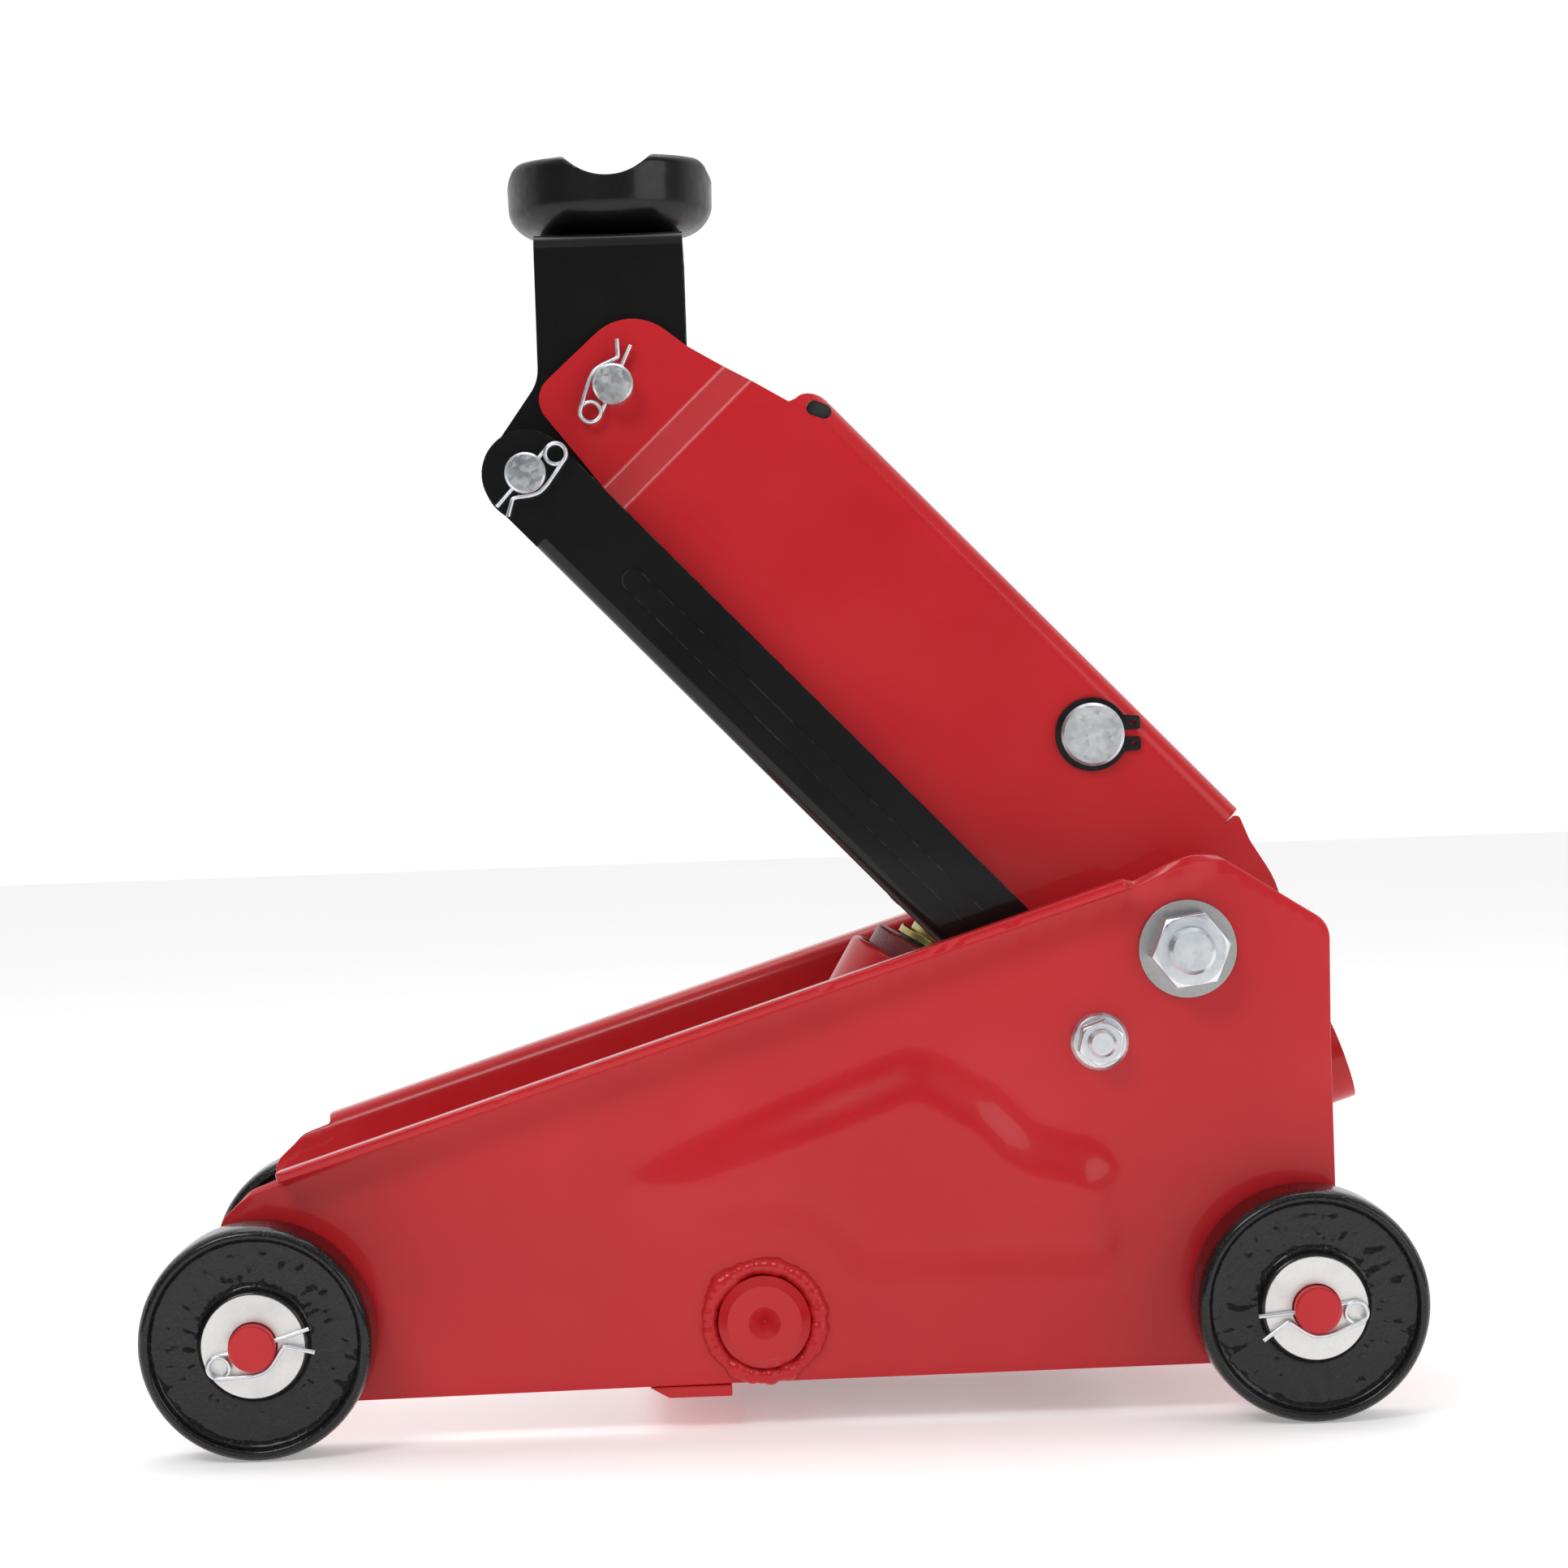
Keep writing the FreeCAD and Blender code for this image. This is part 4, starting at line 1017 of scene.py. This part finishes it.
# centre, distance from the middle, pin radius, lean in degrees, side the coil is on, reach
clips = {
    "front_axle_clips": (pivot("wheel_front_left_roll"), 165.5, 10, 13, -1, 25),
    "rear_axle_clips": (pivot("wheel_rear_left_roll"), 165.5, 10, 189, 1, 25),
    "upper_pin_clips": (saddlePivot, 66.5, 9, 65, 1, 19.4),
    "lower_pin_clips": (lowerPivot, 88.5, 9, 228, 1, 19.4),
}
for node, sizes in clips.items():
    clipPair(node, *sizes)
print("clips ready")


# springs

springLook = {
    "y": 50.0, "along": 31.0, "wire": 1.25, "coil": 6.6, "turns": 41.0, "lowGap": 17.0,
    "highGap": 27.0, "eyeRadius": 6.9, "eyeReach": 13.5, "hookRadius": 15.9, "hookReach": 24.0,
    "endSteps": 24, "endStep": 0.9, "keepSquashed": 0.63,
}
plungerSpringLook = {
    "wire": 1.1, "coil": 10.35, "turns": 7.0, "turnSteps": 28, "keepSquashed": 0.72,
}


def returnSpring(node, side):
    # close-wound tension spring with an eye on the lug and a hook over the push pin
    look = springLook
    low = trunnion + ramLine * look["along"] * mm
    high = pushPivot.copy()
    low.y = high.y = side * look["y"] * mm
    run = (high - low).normalized()
    start, finish = low + run * look["lowGap"] * mm, high - run * look["highGap"] * mm
    body = grown("springBody", "coil", emptySource(), Coil_Radius=look["coil"] * mm,
                 Length=(finish - start).length, Turns=look["turns"],
                 Wire_Radius=look["wire"] * mm, Turn_Steps=16, Material=zinc)
    placed(body, Matrix.Translation(start) @ turnTo(run))
    across = run.cross(Vector((0, 1, 0))).normalized()

    def bentEnd(name, centre, radius, direction, reach):
        points = []
        for k in range(look["endSteps"] + 1):
            angle = math.radians(200 - 340 * k / look["endSteps"])
            spoke = direction * math.cos(angle) + across * math.sin(angle)
            points.append(centre + spoke * radius * mm)
        points.append(centre - direction * reach * mm + Vector((0, 2 * mm * side, 0)))
        points.append(centre - direction * (reach + 3.5) * mm + across * look["coil"] * mm)
        return grown(name, "bentWire", curveSource(points), Wire_Radius=look["wire"] * mm,
                     Step=look["endStep"] * mm, Material=zinc)

    eye = bentEnd("eye", low, look["eyeRadius"], -run, look["eyeReach"])
    hook = bentEnd("hook", high, look["hookRadius"], run, look["hookReach"])
    piece = settle(joined(node + "Wound", [body, eye, hook]), node, zinc)
    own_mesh(piece)


returnSpring("return_spring_left", -1)
returnSpring("return_spring_right", 1)


def plungerSpring():
    # compression spring lying along the plunger, its ends just inside its box
    look = plungerSpringLook
    wire = look["wire"] * mm
    low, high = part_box("plunger_spring")
    start = Vector((low[0], 0, (low[2] + high[2]) / 2))
    piece = grown("plungerSpringWound", "coil", emptySource(), Coil_Radius=look["coil"] * mm,
                  Length=high[0] - low[0] - 2 * wire, Turns=look["turns"], Wire_Radius=wire,
                  Turn_Steps=look["turnSteps"], Material=zinc)
    placed(piece, Matrix.Translation(start + Vector((wire, 0, 0))) @ turnTo((1, 0, 0)))
    settle(piece, "plunger_spring", zinc)
    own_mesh(piece)


plungerSpring()
print("springs ready")


# weld round the trunnion, with the heavier overlap where it starts

weldLook = {
    "ring": 23.9, "scale": 3.9, "count": 38, "unevenness": 0.24, "seed": 5,
    "face": 119.9, "flatten": 0.95, "voxel": 0.55, "easing": 3,
    "lumps": ((128, 23.6, 5.2), (137, 24.2, 5.4), (146, 23.8, 4.9), (155, 23.9, 4.2)),
}


def trunnionWelds():
    # each lump: angle round the ring, distance from its centre, radius
    look = weldLook
    scales = grown("bead", "weldScales", emptySource(), Ring_Radius=look["ring"] * mm,
                   Count=look["count"], Scale_Radius=look["scale"] * mm,
                   Unevenness=look["unevenness"], Seed=look["seed"], Material=redPaint)
    placed(scales, Matrix.Rotation(math.pi / 2, 4, "X"))
    bm = bmesh.new()
    for degrees, reach, size in look["lumps"]:
        angle = math.radians(degrees)
        spot = Vector((math.cos(angle), 0, math.sin(angle))) * reach * mm
        bmesh.ops.create_icosphere(bm, subdivisions=3, radius=size * mm,
                                   matrix=Matrix.Translation(spot))
    near = joined("weldNear", [scales, objectOf("lump", bm)])
    place = Matrix.Translation((trunnion.x, -look["face"] * mm, trunnion.z))
    placed(near, place @ Matrix.Diagonal((1, look["flatten"], 1, 1)))
    fusing = near.modifiers.new("fuse", "REMESH")
    fusing.mode = "VOXEL"
    fusing.voxel_size = look["voxel"] * mm
    easing = near.modifiers.new("ease", "CORRECTIVE_SMOOTH")
    easing.iterations = look["easing"]
    easing.smooth_type = "SIMPLE"
    easing.use_only_smooth = True
    near = smoothed(applied(near, "weldNear"))
    far = mirroredCopy(near, "weldFar")
    settle(joined("trunnionWeldBeads", [near, far]), "trunnion_welds", redPaint)


trunnionWelds()
print("welds ready")


# threads on the bolt ends

threadLook = {"pitch": 1.6, "depth": 0.42, "steps": 40, "sink": 0.55}


def thread(name, at, y, radius, length):
    # fine ridges wound round the bare end of a bolt
    look = threadLook
    turns = (length - look["depth"] * 2) / look["pitch"]
    coil = (radius - look["depth"] * look["sink"]) * mm
    ridge = grown(name, "coil", emptySource(), Coil_Radius=coil,
                  Length=turns * look["pitch"] * mm, Turns=turns, Wire_Radius=look["depth"] * mm,
                  Turn_Steps=look["steps"], Material=zinc)
    start = Matrix.Translation((at.x, -(y + look["depth"]) * mm, at.z))
    return placed(ridge, start @ turnTo((0, -1, 0)))


def threadPair(name, at, y, radius, length):
    near = thread(name, at, y, radius, length)
    far = mirroredCopy(near, name + "Far")
    piece = withMaterial(joined(name + "Ridges", [near, far]), zinc)
    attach(piece, "frame")


# centre, distance from the middle, bolt radius, bare length
threads = {"pivotThread": (armPivot, 139.0, 10.0, 3.2), "linkThread": (linkPivot, 132.2, 6.0, 2.4)}
for name, sizes in threads.items():
    threadPair(name, *sizes)
print("threads ready")


# the solids that stay as they are

for node, slotName in slotOf.items():
    solid = bpy.data.objects.get(node)
    if solid is None or solid.hide_render:
        continue
    withMaterial(solid, finishOf[slotName])
print("solids finished")


# floor, light and camera

studioLook = {
    "floorTone": 0.93, "floorShade": 0.985, "floorRoughness": 0.8, "floorGlow": 0.30,
    "floorHalf": 6, "turnFrom": -0.25, "turnTo": 0.4, "frontTone": 0.07, "backTone": 1.05,
    "liftFrom": 0.25, "skyLift": 0.55, "boxShape": 0.7, "aim": (0, 0, 0.25),
}
# place, size and energy
lampLook = {
    "keyLight": ((-1.0, -1.9, 1.9), 1.1, 22.0), "fillLight": ((1.7, -1.6, 0.9), 1.6, 12.0),
    "topLight": ((0.1, 0.6, 2.2), 1.8, 14.0),
}
cameraLook = {
    "lens": 97.7, "sensor": 36, "place": (-0.0196, -1.960, 0.3212),
    "aim": (0.0077, -0.120, 0.2792), "roll": -1.95,
}


def floorMaterial():
    look = studioLook
    f = Finish("paleFloor", Metallic=0.0, Roughness=look["floorRoughness"],
               Emission_Color=(1, 1, 1, 1), Emission_Strength=look["floorGlow"])
    cloud = rangeNode(f.tree, f.noise(3.0, 3.0), 0.3, 0.7)
    tone = look["floorTone"]
    f.feed("Base Color", f.mix(cloud, (tone,) * 3, (tone * look["floorShade"],) * 3))
    return f.material


def makeFloor():
    def build(bm):
        half = studioLook["floorHalf"]
        corners = [(-half, -half), (half, -half), (half, half), (-half, half)]
        bm.faces.new([bm.verts.new((x, y, 0)) for x, y in corners])
    floor = meshFrom("studioFloor", build)
    withMaterial(floor, floorMaterial())


def softbox(name, place, size, energy):
    lamp = bpy.data.lights.new(name, "AREA")
    lamp.shape = "RECTANGLE"
    lamp.size = size
    lamp.size_y = size * studioLook["boxShape"]
    lamp.energy = energy
    box = newObject(name, lamp)
    box.location = place
    towards = Vector(studioLook["aim"]) - Vector(place)
    box.rotation_euler = towards.to_track_quat("-Z", "Y").to_euler()


def makeWorld():
    # bright behind the jack, dim behind the camera, so that flat painted faces keep their colour
    world = bpy.data.worlds.new("studio")
    world.use_nodes = True
    tree = world.node_tree
    sky = tree.nodes["Background"]
    split = tree.nodes.new("ShaderNodeSeparateXYZ")
    where = tree.nodes.new("ShaderNodeTexCoord").outputs["Generated"]
    tree.links.new(where, split.inputs[0])
    look = studioLook
    behind = rangeNode(tree, split.outputs["Y"], look["turnFrom"], look["turnTo"],
                       look["frontTone"], look["backTone"])
    above = rangeNode(tree, split.outputs["Z"], look["liftFrom"], 1.0, 0.0, look["skyLift"])
    tone = mathNode(tree, "MAXIMUM", behind, above)
    tree.links.new(tone, sky.inputs["Strength"])
    sky.inputs["Color"].default_value = (1, 1, 1, 1)
    bpy.context.scene.world = world


def makeCamera():
    look = cameraLook
    lens = bpy.data.cameras.new("view")
    lens.lens = look["lens"]
    lens.sensor_width = look["sensor"]
    camera = newObject("view", lens)
    turn = (Vector(look["aim"]) - Vector(look["place"])).to_track_quat("-Z", "Y")
    roll = Quaternion((0, 0, 1), math.radians(look["roll"]))
    camera.location = look["place"]
    camera.rotation_euler = (turn @ roll).to_euler()
    bpy.context.scene.camera = camera


makeFloor()
makeWorld()
for name, sizes in lampLook.items():
    softbox(name, *sizes)
makeCamera()
bpy.context.scene.view_settings.view_transform = "Standard"
print("stage ready")
